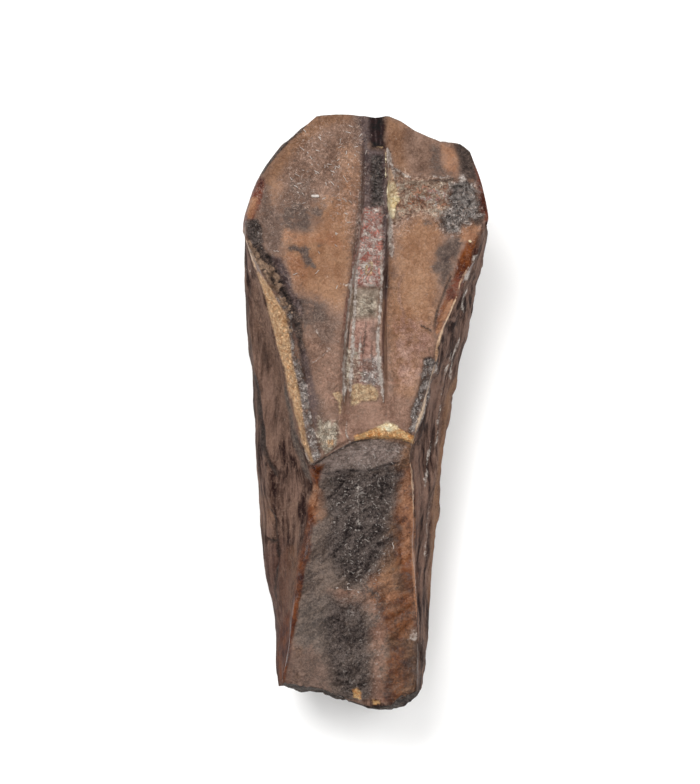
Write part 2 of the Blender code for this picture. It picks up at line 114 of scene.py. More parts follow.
GNARLED_FILM = [
    (395, 174), (412, 182), (434, 184), (452, 184), (456, 206), (448, 220), (434, 214), (420, 210),
    (404, 214), (396, 222), (396, 206), (394, 190),
]
PATCHES = [
    # left plate
    ("honey", 7, 0.9, [(296, 134), (318, 116), (352, 112), (356, 120), (338, 126), (322, 131), (306, 146),
        (292, 160), (280, 176), (268, 190), (264, 182), (272, 164), (284, 148)]),
    ("umber", 10, 0.65, [(318, 136), (340, 126), (362, 124), (362, 140), (346, 150), (342, 182),
        (322, 190), (300, 186), (288, 176), (296, 154)]),
    ("tan", 9, 0.55, [(343, 148), (361, 146), (361, 200), (352, 215), (343, 190)]),
    ("tan", 6, 0.5, [(263, 187), (280, 184), (284, 196), (276, 206), (266, 204)]),
    ("tan", 10, 1.0, [(308, 214), (313, 202), (326, 198), (344, 196), (354, 202), (354, 232), (351, 262),
        (349, 284), (343, 306), (334, 311), (324, 302), (308, 297), (297, 290), (292, 276), (287, 262),
        (284, 244), (283, 231), (296, 233), (308, 231), (320, 222)]),
    ("ember", 5, 0.75, [(289, 255), (300, 256), (304, 268), (310, 276), (304, 282), (293, 276),
        (288, 266)]),
    ("ember", 5, 0.6, [(286, 231), (304, 236), (326, 234), (346, 238), (340, 245), (316, 242), (298, 243),
        (284, 240)]),
    ("umber", 10, 0.5, [(304, 318), (338, 322), (341, 352), (341, 392), (333, 410), (320, 402),
        (311, 380), (306, 350)]),
    ("rose", 9, 0.35, [(312, 346), (338, 340), (341, 380), (333, 400), (320, 392)]),
    ("haze", 9, 0.6, [(280, 200), (296, 180), (309, 180), (314, 196), (322, 208), (318, 217), (311, 219),
        (310, 230), (299, 232), (284, 232), (276, 224), (275, 212)]),
    ("grey", 4, 0.85, [(285, 208), (296, 202), (308, 206), (310, 216), (309, 229), (304, 231),
        (299, 227.5), (293, 230.5), (286, 227), (282, 218)]),
    ("grey", 3, 0.75, [(312, 208), (319, 209), (321, 214), (318, 217), (312, 214)]),
    ("grey", 5, 0.35, [(293, 181), (308, 182), (311, 195), (303, 203), (293, 199)]),
    ("haze", 5, 0.9, [(260, 183), (268, 185), (272, 204), (282, 216), (284, 236), (279, 252), (268, 252),
        (262, 236), (259, 212)]),
    ("grey", 2.2, 1.0, [(288, 246), (293, 244.5), (299, 247.5), (305, 246), (310, 249), (309, 254),
        (313, 262), (319, 271), (314, 270), (309, 266), (305, 269), (303, 262), (300, 255), (295, 251.5),
        (288, 251)]),
    ("grey", 2.2, 0.85, [(315, 243), (322, 244), (320, 249), (316, 248.5)]),
    ("haze", 8, 0.75, [(296, 297), (310, 299), (326, 306), (333, 318), (334, 338), (326, 346), (318, 334),
        (308, 322), (296, 326)]),
    ("grey", 4, 0.8, [(296, 298), (310, 300), (320, 304), (327, 316), (322, 322), (312, 320), (304, 330),
        (300, 316)]),
    ("haze", 5, 0.6, [(353, 116), (368, 116), (367, 150), (361, 158), (354, 150), (356, 132)]),
    ("plum", 4, 0.75, [(300, 346), (308, 352), (313, 380), (318, 406), (316, 428), (309, 410),
        (305, 384)]),
    ("haze", 5, 0.9, [(308, 372), (316, 386), (323, 406), (326, 428), (320, 452), (312, 440),
        (308, 410)]),
    ("rose", 6, 0.5, [(353, 196), (363, 190), (361, 232), (354, 240)]),
    # right plate
    ("honey", 8, 0.9, [(386, 116), (400, 121), (407, 132), (404, 150), (410, 172), (400, 174), (391, 160),
        (386, 140)]),
    ("umber", 10, 0.75, [(407, 138), (430, 139), (440, 146), (436, 178), (416, 178), (408, 160)]),
    ("grey", 4, 0.7, [(431, 150), (440, 149), (442, 166), (450, 179), (438, 180), (431, 170)]),
    ("tan", 8, 1.0, [(398, 232), (408, 222), (424, 214), (440, 222), (442, 240), (434, 262), (438, 288),
        (436, 306), (431, 328), (429, 350), (422, 372), (412, 396), (400, 396), (392, 372), (389, 330),
        (392, 296), (398, 272)]),
    ("honey", 7, 0.8, [(387, 256), (393, 262), (393, 300), (390, 345), (387, 330), (386, 290)]),
    ("rose", 8, 0.75, [(401, 322), (424, 329), (430, 346), (424, 366), (408, 388), (398, 372),
        (396, 345)]),
    ("blush", 8, 0.3, [(396, 322), (426, 328), (428, 352), (418, 380), (396, 380)]),
    ("rose", 7, 0.55, [(345, 408), (384, 402), (400, 396), (410, 410), (412, 430), (398, 424), (380, 424),
        (356, 434), (342, 444), (338, 426)]),
    ("umber", 8, 0.6, [(400, 392), (414, 384), (414, 404), (408, 416), (398, 408)]),
    ("umber", 3, 0.8, [(386, 398), (392, 400), (399, 408), (400, 414), (392, 414), (388, 406)]),
    ("grey", 4, 1.0, [(455, 237), (463, 231), (466, 238), (462, 247), (457, 257), (452, 265), (450, 275),
        (444, 286), (439, 281), (441, 272), (433, 272), (432, 266), (438, 260), (435, 254), (440, 246),
        (448, 241)]),
    ("ember", 4, 0.8, [(462, 222), (476, 224), (480, 230), (474, 240), (464, 242), (459, 236)]),
    ("grey", 3, 0.8, [(425, 219), (433, 220), (433, 225.5), (426, 224)]),
    ("ember", 5, 0.7, [(443, 148), (454, 149), (458, 161), (455, 174), (448, 172), (443, 162)]),
    ("grey", 4, 1.0, [(453, 142), (468, 143), (478, 160), (482, 181), (470, 181), (460, 178), (458, 168),
        (457, 156)]),
    ("soot_and_shade", 4, 0.7, [(451, 140), (465, 143), (471, 158), (475, 180), (466, 179), (462, 170),
        (458, 156)]),
    ("rust", 2.5, 1.0, [(468, 138), (480, 142), (494, 200), (495, 224), (485, 222), (481, 200),
        (475, 174), (471, 156)]),
    ("rose", 6, 0.8, GNARLED_FILM),
    ("crust", 6, 0.8, GNARLED_FILM),
    ("slag", 5, 1.0, [(450, 186), (462, 181), (471, 186), (477, 200), (480, 216), (472, 221), (462, 226),
        (456, 232), (446, 232), (440, 224), (442, 214), (450, 208), (446, 198)]),
    ("soot_and_shade", 2.0, 0.7, [(474, 217), (484, 214), (482, 224), (475, 226)]),
    ("cream", 1.5, 0.62, [(388, 168), (391, 170), (395, 182), (389, 184)]),
    ("yellow", 1.5, 0.64, [(388, 181), (394.5, 182), (397, 190), (399, 196), (394, 198), (389, 196)]),
    ("yellow", 1.0, 1.0, [(388.2, 195), (392, 198), (397, 196.5), (401, 198.5), (399, 202.5),
        (396, 206.5), (394.8, 213), (394, 219.5), (391, 218), (389, 211), (388, 202)]),
    ("cocoa", 8, 0.22, [(346, 404), (404, 402), (404, 424), (346, 424)]),
    # left margin
    ("rust", 2.5, 1.0, [(258, 178), (265, 177), (264, 186), (261, 198), (258, 213), (254, 222),
        (244, 226), (244, 208), (250, 192)]),
    ("ember", 2.5, 0.8, [(251, 198), (257, 198), (256, 213), (250, 220), (246, 214)]),
    ("basalt", 2.5, 0.9, [(246, 223), (256, 219), (262, 228), (263, 242), (256, 246), (248, 236)]),
    ("soot_and_shade", 2.2, 1.0, [(246, 222), (256, 219), (262, 226), (262, 240), (265, 250), (274, 256),
        (282, 262), (287, 272), (290, 284), (293, 296), (302, 300), (303, 310), (302, 322), (304, 345),
        (306, 372), (302, 372), (297, 340), (290, 318), (283, 300), (272, 286), (262, 272), (254, 258),
        (247, 238)]),
    ("soot_and_shade", 3, 0.85, [(299, 345), (306, 348), (310, 374), (313, 400), (309, 404), (304, 384)]),
    ("slag", 2, 0.55, [(277, 296), (284, 302), (290, 312), (291, 322), (293, 340), (294, 356), (298, 364),
        (303, 372), (305, 386), (307, 400), (310, 412), (312, 428), (318, 446), (320, 456), (311, 464),
        (307, 453), (302, 441), (303, 417), (300, 394), (297, 384), (292, 362), (290, 343), (288, 326),
        (284, 312)]),
    ("plum", 3, 0.9, [(271, 256), (281, 258), (290, 274), (292, 290), (300, 300), (302, 316), (294, 306),
        (284, 284), (276, 268)]),
    ("cocoa", 3, 0.7, [(288, 312), (298, 310), (302, 330), (300, 346), (293, 342), (290, 326)]),
    # right margin
    ("amber", 2.5, 1.0, [(467, 238), (478, 236), (474.5, 250), (471, 266), (466, 273), (460, 282),
        (453, 282), (455, 270), (459, 256), (464, 246)]),
    ("rust", 3, 0.95, [(455, 276), (465, 272), (459, 286), (456, 297), (448, 300), (446, 292)]),
    ("amber", 3, 0.7, [(447, 296), (456, 295), (450, 310), (440, 330), (434, 333), (436, 320),
        (441, 306)]),
    ("slag", 1.8, 0.5, [(424, 360), (436, 360), (434, 376), (429, 392), (424, 408), (419, 424),
        (414, 437), (409, 432), (412, 420), (412, 408), (418, 396), (421, 384), (424, 372)]),
    ("soot_and_shade", 1.8, 1.0, [(423, 358), (430, 356), (434, 360), (432, 367), (425, 367)]),
    ("soot_and_shade", 3, 0.85, [(423, 366), (430, 366), (426, 388), (418, 412), (411, 430), (411, 410),
        (418, 392)]),
    ("rust", 2.0, 1.0, [(478, 194), (486, 196), (490, 214), (481, 216), (478, 206)]),
    # ridge
    ("plum", 4, 0.9, [(359, 118), (368, 116), (369, 152), (361, 153), (360, 136)]),
    ("jet_and_shadow", 3.5, 1.0, [(368, 108), (386, 110), (385, 132), (385.5, 150), (370, 150.5), (367, 130)]),
    ("plum", 3, 1.0, [(361.5, 150), (370, 150), (383, 152), (387, 156), (387.5, 209), (374, 212),
        (361, 212), (361.5, 180)]),
    ("pits", 3, 0.9, [(371, 156), (382, 156), (382.5, 208), (372, 208)]),
    ("jet_and_shadow", 2, 0.8, [(370.5, 149), (384.5, 149.5), (383, 157), (373, 157.5)]),
    # painted shade: a dark band down the ridge's right flank
    ("plum", 2, 1.0, [(381.5, 208), (388, 208), (388.5, 250), (388, 286), (386, 300), (382.4, 300),
        (382, 270)]),
    ("flesh", 3, 1.0, [(363, 209), (381.5, 208), (382, 240), (381, 287), (352, 287), (355, 264),
        (359, 238)]),
    ("rust", 3, 0.45, [(371, 214), (380, 213), (383, 230), (376, 232), (371, 224)]),
    ("olive", 4, 1.0, [(351, 287.3), (379.5, 287), (379, 302), (377, 318), (350, 320)]),
    ("soot_and_shade", 4, 0.45, [(364, 288), (378, 288), (378, 304), (374, 303), (372, 294), (362, 293)]),
    ("lichen", 5, 0.5, [(361, 300), (371, 300), (372, 312), (362, 313)]),
    ("soot_and_shade", 4, 0.55, [(371, 326), (377, 325), (375, 340), (370, 340)]),
    ("blush", 7, 0.95, [(352, 318), (377, 320), (374, 350), (379, 386), (352, 386), (352, 350)]),
    ("rust", 6, 0.3, [(358, 338), (368, 334), (371, 352), (364, 368), (357, 356)]),
    ("lichen", 4, 0.55, [(348, 350), (357, 354), (360, 374), (352, 388), (346, 382)]),
    ("slag", 5, 0.5, [(362, 362), (378, 358), (380, 384), (370, 386), (363, 380)]),
    ("buff", 1.4, 1.0, [(351, 385), (357, 383), (364, 385.5), (370, 384.5), (376, 388), (378.5, 395),
        (376, 401), (368, 400.5), (361, 402), (356, 404), (351, 405.5), (350.5, 395)]),
    ("buff", 1.2, 1.0, [(333, 393), (339, 391.5), (341.5, 397), (341, 412), (339.5, 414), (338.5, 402)]),
    ("lichen", 2.5, 1.0, [(318, 416), (323, 424), (329, 420), (331, 427), (337, 421), (338, 436),
        (334, 448), (325, 453), (318, 440)]),
    ("ochre", 2.0, 0.6, [(327, 440), (333, 440), (333, 446), (328, 447)]),
    ("ochre", 1.3, 1.0, [(355, 436), (367, 431.5), (379, 426.5), (386, 424), (393, 424.5), (398, 428.5),
        (414, 435.5), (413, 444), (405, 441), (397, 438), (384, 438.5), (369, 438.3), (355, 440)]),
    ("yellow", 2.5, 0.6, [(377, 428), (386, 424), (394, 424.5), (397, 428), (388, 431)]),
    # root front
    ("gloss", 6, 1.0, [(312, 465), (326, 457), (347, 446), (384, 440), (404, 446), (400, 462), (386, 467),
        (364, 470), (344, 471), (330, 476), (318, 480)]),
    ("earth_and_shade", 5, 0.9, [(392, 446), (410, 446), (411, 480), (400, 476), (390, 464)]),
    ("basalt", 11, 1.0, [(330, 474), (344, 470), (364, 468), (390, 466), (402, 472), (396, 500),
        (386, 524), (390, 548), (376, 570), (356, 584), (334, 572), (326, 548), (330, 520), (322, 496)]),
    ("soot_and_shade", 7, 0.7, [(344, 524), (368, 520), (376, 548), (364, 566), (348, 562)]),
    ("amber", 8, 0.75, [(396, 474), (411, 466), (413, 500), (413, 556), (415, 590), (405, 590),
        (398, 556), (396, 520)]),
    ("ember", 4, 0.55, [(397, 484), (407, 474), (411, 500), (410, 548), (404, 560), (401, 524)]),
    ("earth_and_shade", 7, 0.8, [(382, 540), (398, 500), (408, 520), (413, 560), (416, 620), (418, 690), (400, 704),
        (386, 690), (390, 650), (384, 620), (376, 580)]),
    ("amber", 6, 0.5, [(380, 600), (398, 592), (412, 596), (416, 628), (400, 640), (386, 628)]),
    ("amber", 6, 0.5, [(392, 650), (404, 648), (408, 676), (398, 696), (386, 700), (388, 676)]),
    ("soot_and_shade", 6, 0.45, [(396, 576), (409, 574), (411, 588), (400, 590)]),
    ("soot_and_shade", 6, 0.4, [(404, 640), (417, 644), (417, 690), (406, 694)]),
    ("soot_and_shade", 5, 0.5, [(378, 524), (398, 524), (402, 540), (384, 544)]),
    ("amber", 3, 1.0, [(311, 464), (324, 465), (321, 474), (317, 486), (313, 474)]),
    ("amber", 3, 0.85, [(309, 505), (318, 502), (316, 524), (308, 528)]),
    ("amber", 3, 0.85, [(303, 545), (313, 542), (309, 562), (301, 563)]),
    ("ember", 4, 0.5, [(316, 486), (324, 494), (326, 514), (317, 520), (313, 504)]),
    ("basalt", 10, 0.25, [(310, 528), (330, 522), (338, 566), (328, 596), (304, 600), (306, 566)]),
    ("ash", 8, 0.8, [(298, 606), (332, 592), (336, 640), (318, 652), (291, 646)]),
    ("ember", 6, 0.32, [(370, 578), (394, 574), (398, 592), (382, 602), (372, 598)]),
    ("haze", 8, 0.8, [(286, 652), (312, 648), (328, 668), (330, 694), (300, 686), (284, 680)]),
    ("basalt", 11, 0.75, [(330, 600), (362, 602), (368, 640), (370, 694), (344, 700), (334, 676),
        (326, 640)]),
    ("soot_and_shade", 7, 0.5, [(336, 608), (358, 610), (362, 634), (346, 640), (336, 628)]),
    ("amber", 2.5, 1.0, [(284, 618), (292, 610), (291, 636), (288, 650), (286.5, 664), (285, 683),
        (277, 682), (276, 650)]),
    ("rose", 2.5, 0.8, [(291, 640), (296, 640), (294, 664), (292, 682), (287, 682), (289, 660)]),
    ("earth_and_shade", 3, 0.7, [(296, 640), (303, 638), (301, 684), (293, 682)]),
    ("rose", 8, 0.9, [(370, 578), (392, 576), (397, 592), (380, 600)]),
    ("rose", 9, 0.55, [(330, 590), (362, 594), (382, 606), (374, 612), (344, 606)]),
    ("rose", 7, 0.75, [(384, 606), (396, 604), (390, 626), (382, 648), (368, 650), (372, 632)]),
    ("rose", 7, 0.6, [(372, 660), (384, 656), (386, 680), (382, 700), (372, 698)]),
    ("ochre", 1.4, 1.0, [(352, 689), (357, 687.5), (361, 692), (360, 698), (354, 697)]),
    ("ochre", 1.6, 0.9, [(373, 700), (379, 701), (381, 710), (374, 711)]),
    ("pale", 2, 0.5, [(409, 630), (416, 629), (416, 638), (410, 639)]),
    # walls
    ("night", 6, 1.0, [(414, 440), (437, 350), (456, 300), (470, 274), (483, 224), (492, 220), (488, 270),
        (474, 320), (462, 350), (452, 374), (441, 400), (436, 440), (430, 490), (427, 560), (424, 640),
        (424, 700), (414, 706), (419, 650), (413, 560), (411, 470)]),
    ("night", 4, 0.6, [(243, 250), (249, 256), (252, 330), (258, 380), (264, 430), (270, 520), (280, 600),
        (284, 640), (276, 640), (266, 560), (258, 440), (250, 380), (244, 320)]),
    ("night", 6, 0.5, [(246, 330), (262, 336), (272, 380), (282, 420), (276, 440), (262, 400),
        (250, 366)]),
    ("night", 6, 0.5, [(280, 470), (290, 460), (300, 480), (302, 500), (292, 500), (282, 486)]),
    ("night", 7, 0.5, [(255, 470), (264, 460), (270, 500), (266, 520), (258, 500)]),
    ("honey", 5, 0.5, [(262, 496), (268, 496), (272, 520), (266, 532), (261, 516)]),
    ("honey", 6, 0.4, [(284, 556), (296, 548), (298, 580), (290, 620), (284, 610)]),
    ("cocoa", 12, 0.6, [(262, 560), (284, 540), (292, 580), (286, 640), (282, 690), (272, 660)]),
    ("umber", 12, 0.6, [(242, 290), (256, 290), (276, 360), (290, 420), (276, 440), (252, 370)]),
    # tiny details: curly threads on the surface, partly painted highlights, and white crystal flecks,
    # partly painted glints
    ("threads", 10, 0.75, [(300, 130), (330, 120), (363, 122), (362, 240), (350, 250), (330, 205),
        (300, 215), (280, 205), (282, 180)]),
    ("threads", 8, 0.8, [(388, 150), (397, 170), (450, 182), (478, 196), (482, 226), (450, 236),
        (420, 224), (398, 240), (388, 260)]),
    ("threads", 6, 0.35, [(258, 180), (300, 232), (300, 300), (345, 300), (340, 420), (318, 420),
        (300, 320), (262, 250)]),
    ("threads", 6, 0.25, [(344, 400), (400, 390), (412, 432), (344, 444)]),
    ("threads", 6, 0.3, [(392, 250), (430, 240), (430, 330), (424, 370), (392, 400)]),
    ("crystals", 4, 0.8, [(246, 222), (262, 220), (270, 252), (256, 250)]),
    ("crystals", 6, 0.4, [(260, 188), (274, 190), (290, 212), (288, 246), (270, 246), (260, 216)]),
    ("crystals", 4, 0.6, [(360, 158), (384, 156), (384, 286), (354, 286)]),
    ("crystals", 5, 0.9, [(446, 186), (480, 186), (484, 216), (456, 234), (440, 228)]),
    ("crystals", 8, 1.0, [(330, 476), (398, 472), (392, 500), (388, 560), (374, 590), (340, 576),
        (332, 520)]),
    ("crystals", 6, 0.6, [(330, 452), (350, 444), (404, 444), (404, 466), (346, 470)]),
    ("crystals", 8, 0.45, [(348, 590), (380, 590), (380, 696), (344, 696)]),
]

STREAKS = [
    # painted shadow: a thin dark line along the crown's upper-left edge
    ("soot_and_shade", 2.6, 2.0, 1.0, [(306, 126), (297, 134), (288, 142), (276, 155), (266, 168), (260, 178)]),
    ("pale", 1.6, 1.4, 0.8, [(286, 139), (273, 153), (262, 168)]),
    # painted highlight: a thin pale line along the crown's left edge
    ("cream", 0.9, 1.1, 0.9, [(246, 238), (250, 251), (257, 272)]),
    ("haze", 4.0, 5.0, 0.8, [(364, 148), (363, 185), (360, 212), (356.5, 236), (353, 260)]),
    # painted shade: the dark red-brown line down the ridge's left flank, laid by this streak and the rust
    # streak below
    ("cocoa", 3.2, 2.0, 0.52, [(361, 212), (358.5, 236), (354, 262), (350, 285), (347.5, 300), (345, 320),
        (342.6, 340), (341.5, 360), (341, 392)]),
    # painted shade down the ridge's left flank
    ("rust", 2.0, 2.0, 0.65, [(357, 236), (352, 276), (347.5, 300), (344.5, 322), (342, 345)]),
    ("pale", 1.6, 2.4, 0.9, [(355, 262), (352.5, 280), (349.5, 300), (347, 322), (344.8, 345),
        (343.8, 370), (344, 402)]),
    ("soot_and_shade", 1.4, 1.6, 0.7, [(352.6, 300), (349.6, 325), (347.4, 345), (346.2, 370), (346.6, 400)]),
    ("pale", 2.0, 3.0, 0.85, [(358, 258), (355.5, 290), (354.3, 315), (352.6, 340), (352, 368),
        (350, 398)]),
    ("pale", 1.2, 1.6, 0.6, [(361, 330), (359.5, 350), (358.6, 372)]),
    ("soot_and_shade", 1.4, 1.4, 0.6, [(366, 320), (364.6, 336), (363, 356), (363.6, 372)]),
    ("soot_and_shade", 1.6, 1.6, 0.5, [(374, 316), (372, 334), (371.6, 352), (374, 372)]),
    ("pale", 1.6, 3.0, 1.0, [(381, 250), (381.6, 275), (381, 300), (379.4, 318), (377.4, 336), (378, 352),
        (380, 372), (383.6, 402)]),
    # painted shade down the ridge's right flank
    ("cocoa", 2.6, 2.0, 0.75, [(386.5, 276), (385.6, 305), (383.6, 322), (382.4, 344), (383.4, 372)]),
    ("buff", 1.6, 1.6, 1.0, [(367, 264), (372.2, 262.6), (371.6, 269), (370.6, 274.6), (366, 274),
        (367, 264.5)]),
    ("pale", 0.9, 0.9, 0.4, [(338, 284.5), (372, 286.5), (404, 288.5)]),
    ("rose", 4.0, 1.5, 0.6, [(383, 400), (389, 410), (396, 420)]),
    ("plum", 1.6, 1.2, 0.35, [(376, 114), (375.4, 130), (376.5, 148)]),
    ("plum", 1.2, 1.2, 0.35, [(380.6, 116), (381.2, 132), (380, 148)]),
    ("pale", 1.8, 1.4, 0.8, [(387.6, 148), (388, 162), (389, 184)]),
    ("pale", 1.6, 2.0, 0.8, [(389, 150), (391, 164), (394, 178), (398, 188)]),
    ("pale", 1.4, 1.4, 0.6, [(390.5, 162), (395, 172), (400, 181)]),
    ("pale", 3.6, 3.6, 0.8, [(389.6, 212), (390, 232), (391.6, 258)]),
    # painted shadow: a thin black line beside the ridge's right flank
    ("soot_and_shade", 2.0, 2.0, 1.0, [(386.8, 180), (386.8, 196), (387.5, 211)]),
    ("yellow", 0.9, 0.9, 0.6, [(385.6, 152), (385.4, 180)]),
    ("yellow", 2.2, 2.8, 1.0, [(388.4, 184), (388.6, 197), (390, 211)]),
    ("buff", 1.0, 1.0, 0.5, [(372, 148.6), (377, 147.4), (383.6, 148.4)]),
    # painted shade down the ridge's right flank
    ("cocoa", 3.4, 3.4, 0.9, [(385, 212), (385.4, 232), (385.4, 258), (384.8, 284)]),
    # painted highlights: this streak and the seven after it are whitish glints on the right wall and its
    # margin
    ("pale", 2.5, 1.5, 0.7, [(467, 290), (463, 303), (464, 314)]),
    ("pale", 1.4, 1.2, 0.55, [(459, 338), (452, 358), (449, 380)]),
    ("pale", 1.2, 1.0, 0.5, [(450, 352), (444, 376), (441, 398)]),
    ("pale", 1.2, 1.2, 0.5, [(441, 402), (438, 424), (435, 448)]),
    ("pale", 1.2, 1.4, 0.5, [(431, 440), (426, 466), (423, 492)]),
    ("pale", 1.2, 1.0, 0.45, [(430, 500), (426, 530), (424, 566)]),
    ("pale", 2.0, 2.0, 0.6, [(475, 254), (472, 264)]),
    ("pale", 2.0, 1.5, 0.5, [(468, 267), (464, 282)]),
    ("pale", 1.2, 1.2, 0.6, [(459, 236), (461, 224), (468, 219.4), (480, 217.6)]),
    # painted highlight: a bright spot on the glossy amber bevel
    ("yellow", 1.8, 1.8, 1.0, [(469, 241), (470.6, 242)]),
    # painted shade in the crack under the broken enamel's lip
    ("soot_and_shade", 1.0, 1.6, 0.9, [(394, 168), (399, 173), (405, 178), (411, 183)]),
    ("pale", 1.6, 1.6, 0.8, [(392, 168), (398, 170.5), (404, 175), (412, 179)]),
    # painted shade in the crack under the broken enamel's lip
    ("soot_and_shade", 1.6, 2.6, 1.0, [(428, 181), (437, 180.8), (446, 181.4), (453, 179)]),
    ("pale", 1.4, 2.0, 0.35, [(432, 177), (440, 178), (447, 177.4), (451, 175.6)]),
    # painted shade in the crack under the broken enamel's lip
    ("soot_and_shade", 2.2, 2.0, 1.0, [(452, 184.6), (460, 185.2), (466.5, 182.4), (469, 188), (476, 191)]),
    ("pale", 1.4, 1.8, 0.8, [(456, 182), (462, 181.6), (466, 179.6)]),
    ("soot_and_shade", 1.8, 2.0, 0.65, [(452, 274), (445, 290), (440.5, 302), (436.5, 313), (434, 331)]),
    ("ember", 4.0, 3.0, 0.8, [(452, 300), (446, 312), (440, 324), (436, 336)]),
    ("umber", 1.4, 1.4, 1.0, [(410, 254), (408.5, 268), (404, 278), (400, 288), (400.5, 300),
        (407, 316.5), (414, 322), (420, 325.5)]),
    ("soot_and_shade", 1.8, 1.8, 0.95, [(420, 325), (426, 328.5), (433, 331.5)]),
    ("rose", 2.5, 2.5, 0.6, [(405, 272), (399, 284), (399, 300), (405, 316), (416, 326)]),
    ("cream", 0.9, 1.2, 0.7, [(468, 268), (463, 276), (459.4, 284), (458, 290)]),
    ("cream", 1.0, 1.8, 1.0, [(456.6, 296), (451.6, 308), (446.4, 321), (440, 334), (436.6, 348),
        (435.2, 362)]),
    ("cream", 1.6, 1.6, 0.8, [(434.6, 364), (431.6, 378), (427.6, 392), (423.6, 404), (419, 418),
        (414.6, 433)]),
    ("pale", 1.2, 1.0, 0.35, [(315, 328), (322, 341), (335, 355)]),
    ("pale", 1.0, 1.2, 0.35, [(311, 364), (321, 357), (330, 349.5)]),
    ("pale", 1.0, 1.0, 0.4, [(292, 274), (304, 276), (317, 275)]),
    ("rose", 2.4, 2.0, 0.7, [(349, 416), (350, 430), (351, 443)]),
    ("pale", 1.4, 1.0, 0.5, [(347, 420), (346, 432), (350, 442)]),
    # painted shadow below the step at the crown's base
    ("soot_and_shade", 2.2, 1.6, 0.9, [(313, 464), (324, 457.6), (340, 449.6), (350, 443.6), (358, 440.6),
        (372, 439.6)]),
    # painted shade under the ledge at the crown's base
    ("earth_and_shade", 2.5, 4.0, 0.9, [(384, 440.5), (397, 441), (405, 444), (413, 448)]),
    # painted shadow: a black line along the step below the dentine band
    ("jet_and_shadow", 2.5, 3.5, 1.0, [(322, 474), (334, 473), (346, 470), (362, 471.5), (375, 469), (390, 464),
        (400, 462)]),
    ("amber", 5.0, 3.6, 1.0, PANEL_LEFT[1:]),
    ("cream", 1.2, 1.0, 0.45, [(410, 452), (411.4, 475), (412.4, 495), (412, 516)]),
    ("ember", 3.0, 2.0, 0.8, [(412, 500), (412.4, 548), (414.6, 584), (417, 618)]),
    ("pale", 1.0, 1.2, 0.4, [(358, 484), (358, 505), (359.5, 532)]),
    ("honey", 4.0, 6.0, 0.75, [(486, 300), (470, 345), (456, 378), (447, 400), (443, 430), (440, 457),
        (437, 490), (434, 530), (431, 570), (428, 612)]),
    ("ash", 3.0, 5.0, 0.7, [(284, 380), (291, 415), (297, 445), (306, 466), (313, 482)]),
    ("soot_and_shade", 2.0, 2.6, 0.9, [(253, 368), (257, 392), (260, 420), (264, 445), (272, 466), (281, 480)]),
    ("soot_and_shade", 1.6, 2.0, 0.9, [(272, 506), (277, 520), (278, 538), (279, 560), (276, 590), (281, 612)]),
    ("soot_and_shade", 2.4, 2.4, 0.9, [(268, 539), (274, 541), (279, 540)]),
]

# Rows of small nubs: (stain, height in millimetres, radius and spacing in plan units, path).
NUB_ROWS = [
    ("gold", 0.14, 2.4, 3.2, [(249, 240), (252, 252), (257, 261), (264, 271), (270, 280), (274, 294)]),
    ("gold", 0.17, 2.8, 3.6, [(253, 248), (258, 257), (266, 266), (274, 274), (278, 284), (278, 296)]),
    ("gold", 0.12, 2.0, 3.4, [(257, 252), (263, 262), (271, 269), (278, 277), (281, 290)]),
    ("gold", 0.15, 3.0, 3.8, [(278, 295), (283, 304), (288, 315), (290, 332)]),
    ("gold", 0.12, 2.2, 4.2, [(283, 297), (289, 306), (292, 320)]),
    ("pearl", 0.11, 1.6, 5.0, [(290, 334), (294, 352), (300, 370), (304, 390), (308, 410), (313, 430),
        (317, 452)]),
    ("ash", 0.1, 1.5, 3.8, [(294, 338), (298, 358), (303, 380), (307, 402), (311, 424)]),
    ("ash", 0.1, 1.3, 3.6, [(427, 374), (423, 390), (418, 406), (414, 420), (411, 430)]),
    ("pearl", 0.12, 1.3, 4.6, [(430, 372), (427, 388), (422, 404), (417, 420), (414, 432)]),
    ("pearl", 0.14, 2.4, 5.4, [(440, 216), (446, 222), (452, 227), (459, 228), (463, 222)]),
    ("flesh", 0.14, 2.6, 5.0, [(422, 188), (434, 191), (446, 194), (438, 201), (424, 200), (414, 196)]),
    ("pearl", 0.13, 2.2, 5.0, [(455, 190), (466, 192), (474, 200), (468, 208), (456, 204), (462, 198)]),
]


class Stain:
    """How one stain looks: its two colours, how they are patterned, how ragged its edge is,
    its roughness, and how gritty and how domed the surface is under it."""

    def __init__(self, dark, light, pattern, ragged, roughness, grit=0.2, domes=0.0):
        self.dark, self.light, self.pattern = dark, light, pattern
        self.ragged, self.roughness, self.grit, self.domes = ragged, roughness, grit, domes


